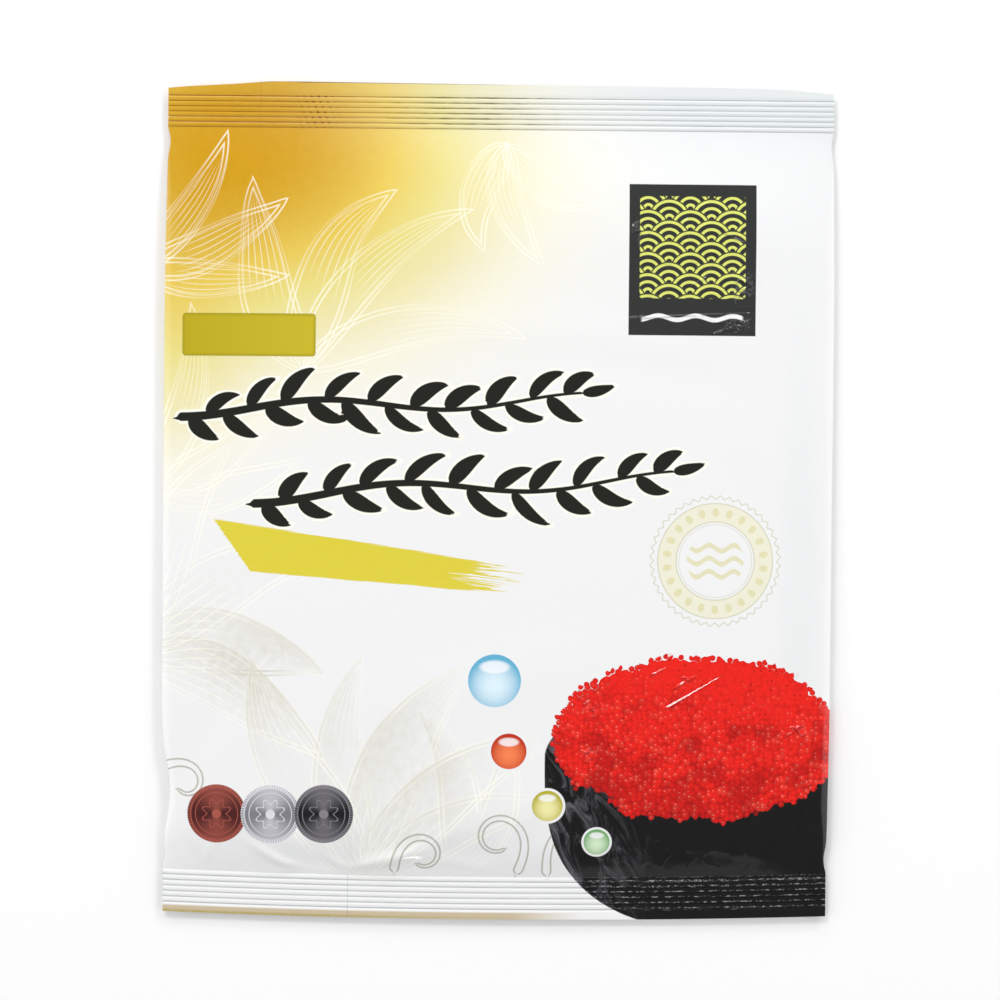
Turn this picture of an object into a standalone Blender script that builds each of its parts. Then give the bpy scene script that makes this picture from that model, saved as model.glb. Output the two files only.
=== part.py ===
"""A sealed packet of nori: ten sheets of toasted seaweed and a drying sachet in a printed film pouch.

The packet lies on its back. X runs across its printed face, Y up the face and Z out of it.
The origin is on the surface that the packet lies on, under the middle of the packet.
"""

import math
import random

import bmesh
import bpy
import numpy as np

MM = 0.001

# The pouch, measured flat over its two end seals and at its corners
PACK_WIDTH = 225.0 * MM
PACK_LENGTH = 278.5 * MM
FILM = 0.12 * MM

# The cut edges bow outward. The bottom bows with its ribs, the top beyond its ribs alone
TOP_BOW = 1.9 * MM
TOP_PEAK = 0.8 * MM
TOP_PEAK_X = -75.0 * MM
TOP_PEAK_SPREAD = 12.0 * MM
BOTTOM_BOW = 2.0 * MM
BOTTOM_BOW_FROM = -70.0 * MM
BOTTOM_BOW_OVER = 45.0 * MM

# The ribbed end seals, whose spaces between ribs are counted from the body outward
TOP_SEAL = 13.0 * MM
BOTTOM_SEAL = 14.5 * MM
TOP_RIB_PITCH = 1.76 * MM
BOTTOM_RIB_PITCH = 1.86 * MM
RIB_SPACES = 6
RIB_HEIGHT = 0.35 * MM
SEAL_HEIGHT = 1.5 * MM

# The filled body between the seals
FACE_HEIGHT = 6.3 * MM
FOLD_HEIGHT = 2.6 * MM
TOP_RISE = 42.0 * MM
BOTTOM_RISE = 16.0 * MM
FACE_FLAT = 70.0 * MM
BACK_FLAT = 88.0 * MM
SIDE_BELLY = 0.6 * MM
BELLY_OVER = 60.0 * MM
NECK_DEPTH = 0.8 * MM
NECK_FROM_SEAL = 5.0 * MM
NECK_SPREAD = 4.0 * MM
NECK_STARTS_OVER = 2.0 * MM
DENT_DEPTH = 2.6 * MM
DENT_Y = -98.0 * MM
DENT_SPREAD = 14.0 * MM

# The back seam, a fin folded flat to the right
FIN_ROOT = -60.0 * MM
FIN_EDGE = -49.5 * MM
FIN_SLIT = 0.08 * MM
FIN_GAP = 0.12 * MM
FIN_STEP = 0.03 * MM
FIN_RAMP = 3.0 * MM
FIN_MOUTH = 0.4 * MM

# The nori
SHEET_COUNT = 10
SHEET_WIDTH = 190.0 * MM
SHEET_LENGTH = 210.0 * MM
SHEET = 0.2 * MM
SHEET_PITCH = 0.36 * MM
STACK_BOTTOM = 0.85 * MM
STACK_FROM_SEAL = 11.0 * MM
SHEET_SHIFT = 0.7 * MM
SHEET_TURN = math.radians(0.2)
SHEET_EDGE_WAVE = 0.35 * MM
EDGE_TURNS = 4.0
SHEET_RIPPLE = 0.03 * MM
RIPPLE_LENGTH = 16.0 * MM
SHEET_COLUMNS, SHEET_ROWS = 9, 10

# The drying sachet, in the free end above the nori
SACHET_LENGTH = 50.0 * MM
SACHET_WIDTH = 21.0 * MM
SACHET_MARGIN = 3.5 * MM
SACHET_PAPER = 0.15 * MM
SACHET_FILL = 1.05 * MM
SACHET_SWELL_OVER = 5.0 * MM
SACHET_X = 30.0 * MM
SACHET_Y = 109.5 * MM
SACHET_CLEAR = 0.3 * MM
SACHET_SLIT = 0.06 * MM
SACHET_STEPS = (0.0, 1.5 * MM, 3.5 * MM, 5.0 * MM)
MOUTH_LENGTH = 5.0 * MM
MOUTH_WIDTH = 6.0 * MM

# The beads of silica gel that the sachet holds
BEAD_RADIUS = 0.85 * MM
BEAD_PITCH = 2.0 * MM
BEAD_NECK = 0.2 * MM
BEAD_CLEAR = 0.15 * MM
BED_LENGTH = 40.0 * MM
BED_WIDTH = 10.0 * MM

WELD = 1e-7
LAP = 0.01 * MM
HAIRLINE = 0.03 * MM
CUT_PAST = 0.5 * MM
LEFT, RIGHT = -1, 1
HALF_WIDTH = PACK_WIDTH / 2
BODY_LOW = -PACK_LENGTH / 2 + BOTTOM_SEAL
BODY_HIGH = PACK_LENGTH / 2 - TOP_SEAL
TOP_LIP = BODY_HIGH + RIB_SPACES * TOP_RIB_PITCH
STACK_LOW = BODY_LOW + STACK_FROM_SEAL
TOP_REACH = TOP_BOW * (1 - (TOP_PEAK_X / HALF_WIDTH) ** 6) + TOP_PEAK
CENTRING = (TOP_REACH - BOTTOM_BOW) / 2

# Soft folds of the printed face: middle X and Y, direction in degrees, half length, half width, height
FACE_FOLDS = (
    (-49.0, -108.0, 100.0, 16.0, 4.0, 0.55),
    (-75.0, -110.0, 160.0, 22.0, 4.5, 0.45),
    (-20.0, -112.0, 20.0, 26.0, 5.0, 0.50),
    (15.0, -108.0, 35.0, 30.0, 6.0, -0.40),
    (70.0, -106.0, 150.0, 26.0, 5.5, 0.40),
    (96.0, -95.0, 95.0, 24.0, 5.0, -0.35),
    (10.0, 58.0, 172.0, 45.0, 7.0, 0.30),
    (48.0, 46.0, 168.0, 38.0, 6.0, -0.25),
    (-62.0, 106.0, 80.0, 18.0, 5.0, 0.40),
    (28.0, 108.0, 115.0, 16.0, 5.0, 0.45),
    (92.0, -6.0, 130.0, 30.0, 7.0, -0.30),
    (-98.0, -78.0, 62.0, 26.0, 6.0, -0.40),
    (84.0, 88.0, 60.0, 28.0, 7.0, 0.30),
    (-10.0, -62.0, 12.0, 55.0, 11.0, 0.30),
)


def clear_scene():
    for thing in list(bpy.data.objects):
        bpy.data.objects.remove(thing)


def ease(share):
    """0 to 1, level at both ends."""
    share = np.clip(share, 0.0, 1.0)
    return share * share * (3 - 2 * share)


def material(name, colour, roughness, metallic=0.0):
    made = bpy.data.materials.new(name)
    made.use_nodes = True
    shader = made.node_tree.nodes["Principled BSDF"]
    shader.inputs["Base Color"].default_value = (*colour, 1.0)
    shader.inputs["Roughness"].default_value = roughness
    shader.inputs["Metallic"].default_value = metallic
    return made


def add_object(name, bm, finish):
    mesh = bpy.data.meshes.new(name)
    bm.to_mesh(mesh)
    bm.free()
    mesh.shade_smooth()
    mesh.set_sharp_from_angle(angle=math.radians(35))
    mesh.materials.append(finish)
    made = bpy.data.objects.new(name, mesh)
    bpy.context.scene.collection.objects.link(made)
    return made


def add_slab(name, upper, lower, finish):
    """One closed body between two grids of points. Rows run along Y and columns along X.
    Where the grids meet, as along a fold, their points are one."""
    bm = bmesh.new()
    top = [[bm.verts.new(point) for point in row] for row in upper]
    bottom = [[bm.verts.new(point) for point in row] for row in lower]
    rows, columns = len(top), len(top[0])
    for r in range(rows - 1):
        for c in range(columns - 1):
            bm.faces.new((top[r][c], top[r][c + 1], top[r + 1][c + 1], top[r + 1][c]))
            bm.faces.new((bottom[r][c], bottom[r + 1][c], bottom[r + 1][c + 1], bottom[r][c + 1]))
        bm.faces.new((top[r][0], top[r + 1][0], bottom[r + 1][0], bottom[r][0]))
        bm.faces.new((top[r + 1][-1], top[r][-1], bottom[r][-1], bottom[r + 1][-1]))
    for c in range(columns - 1):
        bm.faces.new((top[0][c + 1], top[0][c], bottom[0][c], bottom[0][c + 1]))
        bm.faces.new((top[-1][c], top[-1][c + 1], bottom[-1][c + 1], bottom[-1][c]))
    bmesh.ops.remove_doubles(bm, verts=bm.verts, dist=WELD)
    return add_object(name, bm, finish)


def cut(body, cutter, name):
    """Takes the cutter away from the body. The cutter stays as a hidden helper."""
    cutter.hide_render = True
    cutter.display_type = "WIRE"
    step = body.modifiers.new(name, "BOOLEAN")
    step.operation = "DIFFERENCE"
    step.solver = "EXACT"
    step.object = cutter


def grid_points(x, y, z):
    return np.stack(np.broadcast_arrays(x, y, z), axis=-1)


def add_pouch_slab(name, x, y, upper, lower, finish):
    """A slab of the pouch, whose ends bow with the cut edges."""
    return add_slab(name, grid_points(x, bowed(x, y), upper), grid_points(x, bowed(x, y), lower), finish)


def fullness(y):
    """0 at either seal and 1 where the pouch is as thick as its filling."""
    low = np.clip((y - BODY_LOW) / BOTTOM_RISE, 0.0, 1.0)
    high = np.clip((BODY_HIGH - y) / TOP_RISE, 0.0, 1.0)
    return np.sin(np.minimum(low, high) * math.pi / 2)


def hump(distance, spread):
    return np.exp(-((distance / spread) ** 2))


def edge_x(side, y):
    """Where the pouch's side fold runs: a slight belly, a neck by each seal and one dent on the left."""
    inward = np.clip(np.minimum(y - BODY_LOW, BODY_HIGH - y), 0.0, None)
    belly = SIDE_BELLY * ease(inward / BELLY_OVER)
    neck = NECK_DEPTH * hump(inward - NECK_FROM_SEAL, NECK_SPREAD)
    dent = DENT_DEPTH * hump(y - DENT_Y, DENT_SPREAD) if side == LEFT else 0.0
    return side * (HALF_WIDTH + (belly - neck - dent) * ease(inward / NECK_STARTS_OVER))


def bowed(x, y):
    """Y moved outward at the two ends, where the cut edges bow, and the whole centred on the origin."""
    share = np.abs(x) / HALF_WIDTH
    top = TOP_BOW * (1 - share**6) + TOP_PEAK * hump(x - TOP_PEAK_X, TOP_PEAK_SPREAD)
    bottom = BOTTOM_BOW * (1 - share**2)
    on_lip = ease((y - TOP_LIP) / (PACK_LENGTH / 2 - TOP_LIP))
    near_bottom = ease((BOTTOM_BOW_FROM - y) / BOTTOM_BOW_OVER)
    return y + top * on_lip - bottom * near_bottom - CENTRING


def ribs(y):
    """The height of the pressed ribs. They end at the body, and a plain lip is left outside them."""
    above = (y - BODY_HIGH) / TOP_RIB_PITCH
    below = (BODY_LOW - y) / BOTTOM_RIB_PITCH
    count = np.clip(np.maximum(above, below), 0.0, RIB_SPACES + 0.5)
    return RIB_HEIGHT * np.abs(np.sin(count * math.pi))


def arch(x, y, flat):
    """1 over the flat middle, falling to 0 at the inside of the side folds as a quarter round."""
    edge = np.where(x < 0, -edge_x(LEFT, y), edge_x(RIGHT, y)) - FILM
    share = np.clip((np.abs(x) - flat) / (edge - flat), 0.0, 1.0)
    return np.sqrt(1 - share**2)


def face_relief(x, y):
    """The soft folds of the printed face. They die out towards the seals and the side folds."""
    total = np.zeros(np.broadcast(x, y).shape)
    for middle_x, middle_y, turn, length, width, height in FACE_FOLDS:
        dx, dy = x - middle_x * MM, y - middle_y * MM
        along = dx * math.cos(math.radians(turn)) + dy * math.sin(math.radians(turn))
        across = dy * math.cos(math.radians(turn)) - dx * math.sin(math.radians(turn))
        total += height * MM * np.exp(-((along / (length * MM)) ** 2) - (across / (width * MM)) ** 2)
    return total


def fold_level(y):
    return SEAL_HEIGHT + (FOLD_HEIGHT - SEAL_HEIGHT) * fullness(y)


def inner_face(x, y):
    """The inside of the printed face."""
    crown = (FACE_HEIGHT - fold_level(y)) * fullness(y) ** 0.8 + face_relief(x, y) * fullness(y)
    return fold_level(y) + crown * arch(x, y, FACE_FLAT)


def inner_back(x, y):
    """The inside of the back, with no seam. It lies flat on the ground and rises to the seals."""
    deep = fold_level(y) - FILM - (SEAL_HEIGHT - FILM) * (1 - fullness(y))
    return fold_level(y) - deep * arch(x, y, BACK_FLAT)


def seam_opening(thickness, y):
    """A gap between layers of the seam, which closes towards the seals."""
    return thickness * (0.3 + 0.7 * fullness(y))


def seam_height(y):
    """From the outside of the folded seam to the outside of the back above it."""
    return 2 * FILM + seam_opening(FIN_SLIT, y) + seam_opening(FIN_GAP, y)


def seam_drop(y):
    """How far the folded seam stands out under the back. It lies flush where the pouch is full."""
    return seam_height(y) * (1 - fullness(y))


def seam_lift(x, y):
    """How far the back is lifted over the folded seam, ramping down past the seam's free edge."""
    lift = (seam_height(y) - seam_drop(y)) * (1 - ease((x - FIN_EDGE - FIN_STEP) / FIN_RAMP))
    return np.where(x < FIN_ROOT, 0.0, lift)


def outer_back(x, y):
    """The outside of the pouch underneath. The seam's outer layer carries on from the back's left part."""
    in_seal = (y <= BODY_LOW) | (y >= BODY_HIGH)
    on_fin = (x >= FIN_ROOT) & (x <= FIN_EDGE)
    past_fin = np.where((x > FIN_EDGE) & ~in_seal, seam_lift(x, y), 0.0)
    return inner_back(x, y) - FILM + np.where(on_fin, -seam_drop(y), past_fin)


FOLD_STEPS = (0.0, FILM, 0.7 * MM, 2.2 * MM, 5.0 * MM, 9.0 * MM, 15.0 * MM, 23.0 * MM)
ROOT_STEP = 0.05 * MM
FLAT_LEFT, FLAT_RIGHT = -76.0 * MM, 77.0 * MM
FLAT_COLUMNS = 11
BODY_STEPS_LOW = tuple(step * MM for step in (0.0, 1.5, 4.0, 7.0, 11.0, 16.0, 24.0))
BODY_STEPS_HIGH = tuple(step * MM for step in (0.0, 2.5, 6.0, 11.0, 17.0, 24.0, 32.0, 42.0))
BODY_ROWS_BETWEEN = 9


def flat_columns():
    """X of the columns between the rounded sides, with close ones at the seam's root and free edge."""
    root = [FIN_ROOT - ROOT_STEP, FIN_ROOT]
    edge = [FIN_EDGE, FIN_EDGE + FIN_STEP, FIN_EDGE + FIN_RAMP / 2, FIN_EDGE + FIN_STEP + FIN_RAMP]
    rest = np.linspace(edge[-1], FLAT_RIGHT, FLAT_COLUMNS)[1:]
    return np.array([FLAT_LEFT, (FLAT_LEFT + FIN_ROOT) / 2, *root, *edge, *rest])


def body_rows():
    low = [BODY_LOW + step for step in BODY_STEPS_LOW]
    high = [BODY_HIGH - step for step in reversed(BODY_STEPS_HIGH)]
    return low + list(np.linspace(low[-1], high[0], BODY_ROWS_BETWEEN + 2)[1:-1]) + high


def seal_rows(start, pitch, end):
    """Rows over one seal, at the foot and the crest of each rib, then at the cut edge."""
    return [start + pitch * half / 2 for half in range(1, 2 * RIB_SPACES + 2)] + [end]


def pouch_grid(rows, inset):
    """X and Y of a grid across the pouch, whose outer columns follow the side folds at this inset."""
    y = np.array(rows)[:, None]
    steps = np.array([inset] + [step for step in FOLD_STEPS if step > inset])
    flat = np.broadcast_to(flat_columns(), (len(rows), len(flat_columns())))
    x = np.concatenate([edge_x(LEFT, y) + steps, flat, edge_x(RIGHT, y) - steps[::-1]], axis=1)
    return x, np.broadcast_to(y, x.shape)


def fold_wall(x, y):
    """The film's thickness, which rounds off to nothing at the outside of the side folds."""
    from_fold = np.minimum(x - edge_x(LEFT, y), edge_x(RIGHT, y) - x)
    share = np.clip(1 - from_fold / FILM, 0.0, 1.0)
    return FILM * np.sqrt(1 - share**2)


def make_film(finish):
    """The pouch: one film wrapped round, its edges sealed in a fin down the back and its ends in ribs."""
    bottom = seal_rows(BODY_LOW, -BOTTOM_RIB_PITCH, -PACK_LENGTH / 2)[::-1]
    top = seal_rows(BODY_HIGH, TOP_RIB_PITCH, PACK_LENGTH / 2)
    x, y = pouch_grid(bottom + body_rows() + top, 0.0)
    wall = fold_wall(x, y)
    upper = inner_face(x, y) + wall + ribs(y)
    lower = outer_back(x, y) + FILM - wall + ribs(y)
    film = add_pouch_slab("film_pouch", x, y, upper, lower, finish)
    cut(film, make_cavity(finish), "inside")
    cut(film, make_seam_slit(finish), "seam_slit")
    cut(film, make_seam_fold(finish), "seam_fold")
    return film


def make_cavity(finish):
    """The room inside, which narrows to a hairline where each seal begins."""
    x, y = pouch_grid(body_rows(), FILM)
    from_seal = np.minimum(y - BODY_LOW, BODY_HIGH - y)
    upper = inner_face(x, y) + np.clip(HAIRLINE - from_seal, 0.0, None)
    lower = inner_back(x, y) + seam_lift(x, y)
    return add_pouch_slab("cavity_cutter", x, y, upper, lower, finish)


def seam_slab(name, columns, start, end, finish):
    """A thin slab that follows the seam along the body. Its faces stand this high over the seam's outside."""
    y = np.array(body_rows())[:, None]
    x = np.broadcast_to(np.array(columns), (len(y), len(columns)))
    y = np.broadcast_to(y, x.shape)
    outside = inner_back(x, y) - FILM - seam_drop(y)
    return add_pouch_slab(name, x, y, outside + end(y), outside + start(y), finish)


def make_seam_slit(finish):
    """The hairline between the two film edges that the fin seals together. It opens into the pouch."""
    columns = (FIN_ROOT - FIN_MOUTH, FIN_ROOT, FIN_EDGE + CUT_PAST)
    return seam_slab(
        "slit_cutter", columns, lambda y: FILM + LAP, lambda y: FILM + seam_opening(FIN_SLIT, y), finish
    )


def make_seam_fold(finish):
    """The gap between the folded fin and the back that it lies against."""
    columns = (FIN_ROOT + FILM, FIN_EDGE + CUT_PAST)
    return seam_slab(
        "fold_cutter", columns, lambda y: 2 * FILM + seam_opening(FIN_SLIT, y), seam_height, finish
    )


def make_nori_sheet(number, draw, finish):
    """One sheet of nori: a thin rectangle with slightly wavy edges, a little out of line in its stack."""
    s, t = np.meshgrid(np.linspace(-1, 1, SHEET_COLUMNS), np.linspace(-1, 1, SHEET_ROWS))
    phase = [draw.uniform(0, 2 * math.pi) for _ in range(4)]
    x = s * SHEET_WIDTH / 2 + SHEET_EDGE_WAVE * s**3 * np.sin(EDGE_TURNS * t + phase[0])
    y = t * SHEET_LENGTH / 2 + SHEET_EDGE_WAVE * t**3 * np.sin(EDGE_TURNS * s + phase[1])
    turn = draw.uniform(-SHEET_TURN, SHEET_TURN)
    shift_x, shift_y = draw.uniform(-SHEET_SHIFT, SHEET_SHIFT), draw.uniform(-SHEET_SHIFT, SHEET_SHIFT)
    placed_x = x * math.cos(turn) - y * math.sin(turn) + shift_x
    placed_y = x * math.sin(turn) + y * math.cos(turn) + shift_y + STACK_LOW + SHEET_LENGTH / 2
    ripple_x = np.sin(placed_x / RIPPLE_LENGTH + phase[2])
    ripple = SHEET_RIPPLE * (ripple_x + np.cos(placed_y / RIPPLE_LENGTH + phase[3]))
    low = STACK_BOTTOM + number * SHEET_PITCH + ripple
    upper, lower = grid_points(placed_x, placed_y, low + SHEET), grid_points(placed_x, placed_y, low)
    return add_slab(f"nori_sheet_{number + 1:02d}", upper, lower, finish)


def sachet_room(x, y):
    """Half the height of the room in the sachet, at a place measured from its middle."""
    from_side = SACHET_LENGTH / 2 - SACHET_MARGIN - np.abs(x)
    from_end = SACHET_WIDTH / 2 - SACHET_MARGIN - np.abs(y)
    share = np.clip(np.minimum(from_side, from_end) / SACHET_SWELL_OVER, 0.0, 1.0)
    return SACHET_FILL * np.sin(share * math.pi / 2)


def sachet_slab(name, x, y, half_height, finish):
    """A slab about the sachet's middle layer, which slopes with the back of the pouch under it."""
    ends = inner_back(SACHET_X, SACHET_Y + np.array([-0.5, 0.5]) * SACHET_WIDTH)
    slope = (ends[1] - ends[0]) / SACHET_WIDTH
    middle = inner_back(SACHET_X, SACHET_Y) + SACHET_CLEAR + SACHET_FILL + SACHET_PAPER + y * slope
    upper = grid_points(SACHET_X + x, SACHET_Y + y, middle + half_height)
    lower = grid_points(SACHET_X + x, SACHET_Y + y, middle - half_height)
    return add_slab(name, upper, lower, finish)


def sachet_steps(length):
    """Places along one side of the sachet, close together where it swells from its sealed margins."""
    inner = [length / 2 - SACHET_MARGIN - step for step in SACHET_STEPS]
    return sorted([-length / 2, length / 2] + inner + [-place for place in inner])


def make_sachet(finish):
    """The sachet's paper: two faces sealed to each other all round, with room for its beads."""
    x = np.array(sachet_steps(SACHET_LENGTH))[None, :]
    y = np.array(sachet_steps(SACHET_WIDTH))[:, None]
    sachet = sachet_slab("sachet_paper", x, y, SACHET_PAPER + sachet_room(x, y), finish)
    inner_x, inner_y = x[:, 1:-1], y[1:-1]
    room = np.maximum(sachet_room(inner_x, inner_y), SACHET_SLIT / 2)
    cut(sachet, sachet_slab("sachet_cutter", inner_x, inner_y, room, finish), "inside")
    mouth_x = np.array([-SACHET_LENGTH / 2 - MM, MOUTH_LENGTH - SACHET_LENGTH / 2])[None, :]
    mouth_y = np.array([-0.5, 0.5])[:, None] * MOUTH_WIDTH
    mouth = sachet_slab("mouth_cutter", mouth_x, mouth_y, np.full((2, 2), SACHET_SLIT / 2), finish)
    cut(sachet, mouth, "mouth")
    return sachet


def make_beads(finish):
    """The silica gel: one layer of beads, joined where they touch and lower where the sachet narrows."""
    x = np.arange(-BED_LENGTH / 2, BED_LENGTH / 2 + WELD, BEAD_PITCH / 2)[None, :]
    y = np.arange(-BED_WIDTH / 2, BED_WIDTH / 2 + WELD, BEAD_PITCH / 2)[:, None]
    crest = np.abs(np.cos(x / BEAD_PITCH * math.pi) * np.cos(y / BEAD_PITCH * math.pi))
    height = np.minimum(BEAD_NECK + (BEAD_RADIUS - BEAD_NECK) * crest, sachet_room(x, y) - BEAD_CLEAR)
    return sachet_slab("silica_gel_beads", x, y, height, finish)


def main():
    clear_scene()
    printed_film = material("printed_film", (0.90, 0.91, 0.90), 0.28)
    nori = material("nori", (0.020, 0.028, 0.018), 0.55)
    sachet_paper = material("sachet_paper", (0.92, 0.92, 0.90), 0.7)
    silica_gel = material("silica_gel", (0.80, 0.84, 0.86), 0.15)
    make_film(printed_film)
    draw = random.Random(11)
    for number in range(SHEET_COUNT):
        make_nori_sheet(number, draw, nori)
    make_sachet(sachet_paper)
    make_beads(silica_gel)


main()
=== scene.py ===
"""The looks of a sealed packet of nori: its sheets, its drying sachet and the printed film pouch round them.

Sizes are in millimetres, in the frame of the CAD model. They become metres when a mesh is made.
"""

import math
import random
from functools import partialmethod

import bmesh
import bpy
import numpy as np
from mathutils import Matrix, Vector


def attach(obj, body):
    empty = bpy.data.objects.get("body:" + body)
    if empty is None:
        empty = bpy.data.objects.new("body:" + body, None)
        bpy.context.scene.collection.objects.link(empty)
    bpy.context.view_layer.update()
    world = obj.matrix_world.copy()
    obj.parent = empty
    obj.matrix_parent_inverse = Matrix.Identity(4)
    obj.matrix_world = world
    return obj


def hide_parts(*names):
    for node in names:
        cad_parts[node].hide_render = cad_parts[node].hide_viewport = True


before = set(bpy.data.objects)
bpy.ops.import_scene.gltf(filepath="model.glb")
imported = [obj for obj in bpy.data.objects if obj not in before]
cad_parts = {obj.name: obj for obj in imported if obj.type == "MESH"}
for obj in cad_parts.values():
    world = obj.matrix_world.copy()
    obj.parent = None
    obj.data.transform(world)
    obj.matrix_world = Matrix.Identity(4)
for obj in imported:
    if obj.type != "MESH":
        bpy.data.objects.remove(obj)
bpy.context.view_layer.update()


# The nori: ten sheets of laver that was chopped, poured thin on mats, pressed, dried and toasted.
# They lie loose in one stack, a little out of line, with rough edges and felted strands in their faces.
MM = 0.001
SHEET_COUNT = 10
SHEET_WIDTH = 190.0
SHEET_LENGTH = 210.0
SHEET = 0.2
SHEET_PITCH = 0.36
STACK_BOTTOM = 0.85
STACK_LOW = -113.75
SHEET_SHIFT = 0.7
SHEET_TURN = math.radians(0.2)
SHEET_EDGE_WAVE = 0.35
EDGE_TURNS = 4.0
SHEET_RIPPLE = 0.03
RIPPLE_LENGTH = 16.0
RAGGED = 0.12
SHEET_COLUMNS, SHEET_ROWS = 66, 72
SOFT_EDGE = 0.12
LAVER_DARK = (0.006, 0.010, 0.006)
LAVER_GREEN = (0.022, 0.040, 0.014)
LAVER_BROWN = (0.040, 0.036, 0.020)


class Value:
    """A shader output that is worked with as a number. Each operation adds its Math node."""

    def __init__(self, finish, socket):
        self.finish = finish
        self.socket = socket

    def also(self, name):
        """Another output of the node that this value comes from."""
        return Value(self.finish, self.socket.node.outputs[name])

    def math(self, operation, *rest, clamp=False):
        sockets = dict(enumerate((self, *rest)))
        return self.finish.node("ShaderNodeMath", sockets, operation=operation, use_clamp=clamp)

    __add__ = __radd__ = partialmethod(math, "ADD")
    __sub__ = partialmethod(math, "SUBTRACT")
    __rsub__ = partialmethod(math, "MULTIPLY_ADD", -1.0)
    __mul__ = __rmul__ = partialmethod(math, "MULTIPLY")
    __truediv__ = partialmethod(math, "DIVIDE")
    __pow__ = partialmethod(math, "POWER")
    __abs__ = partialmethod(math, "ABSOLUTE")
    least = partialmethod(math, "MINIMUM")
    most = partialmethod(math, "MAXIMUM")
    clamped = partialmethod(math, "ADD", 0.0, clamp=True)

    def within(self, edge, soft=SOFT_EDGE):
        """1 where the value is below this edge and 0 above it, with a soft step between."""
        return self.math("MULTIPLY_ADD", -0.5 / soft, 0.5 + 0.5 * edge / soft, clamp=True)

    def near(self, place, reach, soft=SOFT_EDGE):
        """1 where the value is within this reach of a place and 0 beyond, with a soft step between."""
        return abs(self - place).within(reach, soft)

    def from_half(self):
        """0.5 at each whole number, falling to 0 halfway between two."""
        return abs(self.math("FRACT") - 0.5)


class Finish:
    """A material being mixed. Its first shader is ready, and every other node comes from node()."""

    def __init__(self, name, **plain):
        self.material = bpy.data.materials.new(name)
        self.material.use_nodes = True
        self.tree = self.material.node_tree
        self.shader = self.tree.nodes["Principled BSDF"]
        self.plain = plain
        self.set(**plain)

    def lay_over(self, share):
        """Starts another shader, with the same plain settings, over this share of the surface."""
        surface = self.tree.nodes["Material Output"].inputs["Surface"]
        below = surface.links[0].from_socket
        above = self.node("ShaderNodeBsdfPrincipled")
        both = self.node("ShaderNodeMixShader", {0: share, 1: Value(self, below), 2: above})
        self.feed(surface, both)
        self.shader = above.socket.node
        self.set(**self.plain)

    def set(self, **sockets):
        """Sets or links the shader's sockets, named with _ for each space."""
        for name, value in sockets.items():
            self.feed(self.shader.inputs[name.replace("_", " ")], value)

    def feed(self, socket, value):
        if isinstance(value, Value):
            self.tree.links.new(value.socket, socket)
        elif isinstance(value, tuple) and socket.type == "RGBA":
            socket.default_value = (*value, 1.0)
        else:
            socket.default_value = value

    def node(self, kind, sockets=None, output=0, stops=None, steps=False, **settings):
        made = self.tree.nodes.new(kind)
        for name, value in settings.items():
            setattr(made, name, value)
        if stops:
            made.color_ramp.interpolation = "CONSTANT" if steps else "LINEAR"
            ramp = made.color_ramp.elements
            while len(ramp) < len(stops):
                ramp.new(1.0)
            for element, (place, colour) in zip(ramp, stops):
                element.position = place
                element.color = (*colour, 1.0)
        for name, value in (sockets or {}).items():
            self.feed(made.inputs[name], value)
        return Value(self, made.outputs[output])

    def mix(self, share, ground, colour, blend="MIX"):
        """One colour laid over another."""
        sockets = {0: share, 6: ground, 7: colour}
        return self.node("ShaderNodeMix", sockets, output=2, data_type="RGBA", blend_type=blend)

    def parts(self, vector):
        """The three numbers of a vector."""
        first = self.node("ShaderNodeSeparateXYZ", {0: vector})
        return first, first.also("Y"), first.also("Z")

    def attribute(self, name):
        return self.parts(self.node("ShaderNodeAttribute", output="Vector", attribute_name=name))

    def vector(self, x, y, z=0.0):
        return self.node("ShaderNodeCombineXYZ", {0: x, 1: y, 2: z})

    def noise(self, place, scale=1.0, detail=3.0, rough=0.5, distortion=0.0):
        """A noise through space, or over a plane where the place is two numbers."""
        flat = isinstance(place, tuple)
        vector = self.vector(*place) if flat else place
        sockets = {"Vector": vector, "Scale": scale, "Detail": detail, "Roughness": rough}
        sockets["Distortion"] = distortion
        return self.node("ShaderNodeTexNoise", sockets, noise_dimensions="2D" if flat else "3D")

    def bump(self, height, depth_mm):
        """A normal for a height between 0 and 1 that stands for this depth."""
        return self.node("ShaderNodeBump", {"Height": height, "Distance": depth_mm * MM, "Strength": 1.0})


def grid_faces(rows, columns, start=0, round_columns=False):
    """Quads over a grid of points, whose last column may join on to its first."""
    last = columns if round_columns else columns - 1
    faces = []
    for r in range(rows - 1):
        low, high = start + r * columns, start + (r + 1) * columns
        for c in range(last):
            d = (c + 1) % columns
            faces.append((low + c, low + d, high + d, high + c))
    return faces


def shell(upper, lower, start=0):
    """Points and faces of a closed skin between two grids of points."""
    rows, columns = upper.shape[:2]
    count = rows * columns
    points = np.concatenate([upper.reshape(-1, 3), lower.reshape(-1, 3)])
    faces = grid_faces(rows, columns)
    faces += [tuple(count + corner for corner in reversed(face)) for face in grid_faces(rows, columns)]
    rim = [*range(columns)] + [r * columns + columns - 1 for r in range(1, rows)]
    rim += [(rows - 1) * columns + c for c in range(columns - 2, -1, -1)]
    rim += [r * columns for r in range(rows - 2, 0, -1)]
    for here, there in zip(rim, rim[1:] + rim[:1]):
        faces.append((there, here, count + here, count + there))
    return points, [tuple(start + corner for corner in face) for face in faces]


def add_piece(name, points, faces, finish, crease=40.0):
    """An object from points in millimetres."""
    mesh = bpy.data.meshes.new(name)
    mesh.from_pydata((points * MM).tolist(), [], faces)
    mesh.shade_smooth()
    mesh.set_sharp_from_angle(angle=math.radians(crease))
    mesh.materials.append(finish.material)
    made = bpy.data.objects.new(name, mesh)
    bpy.context.scene.collection.objects.link(made)
    return made


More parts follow.
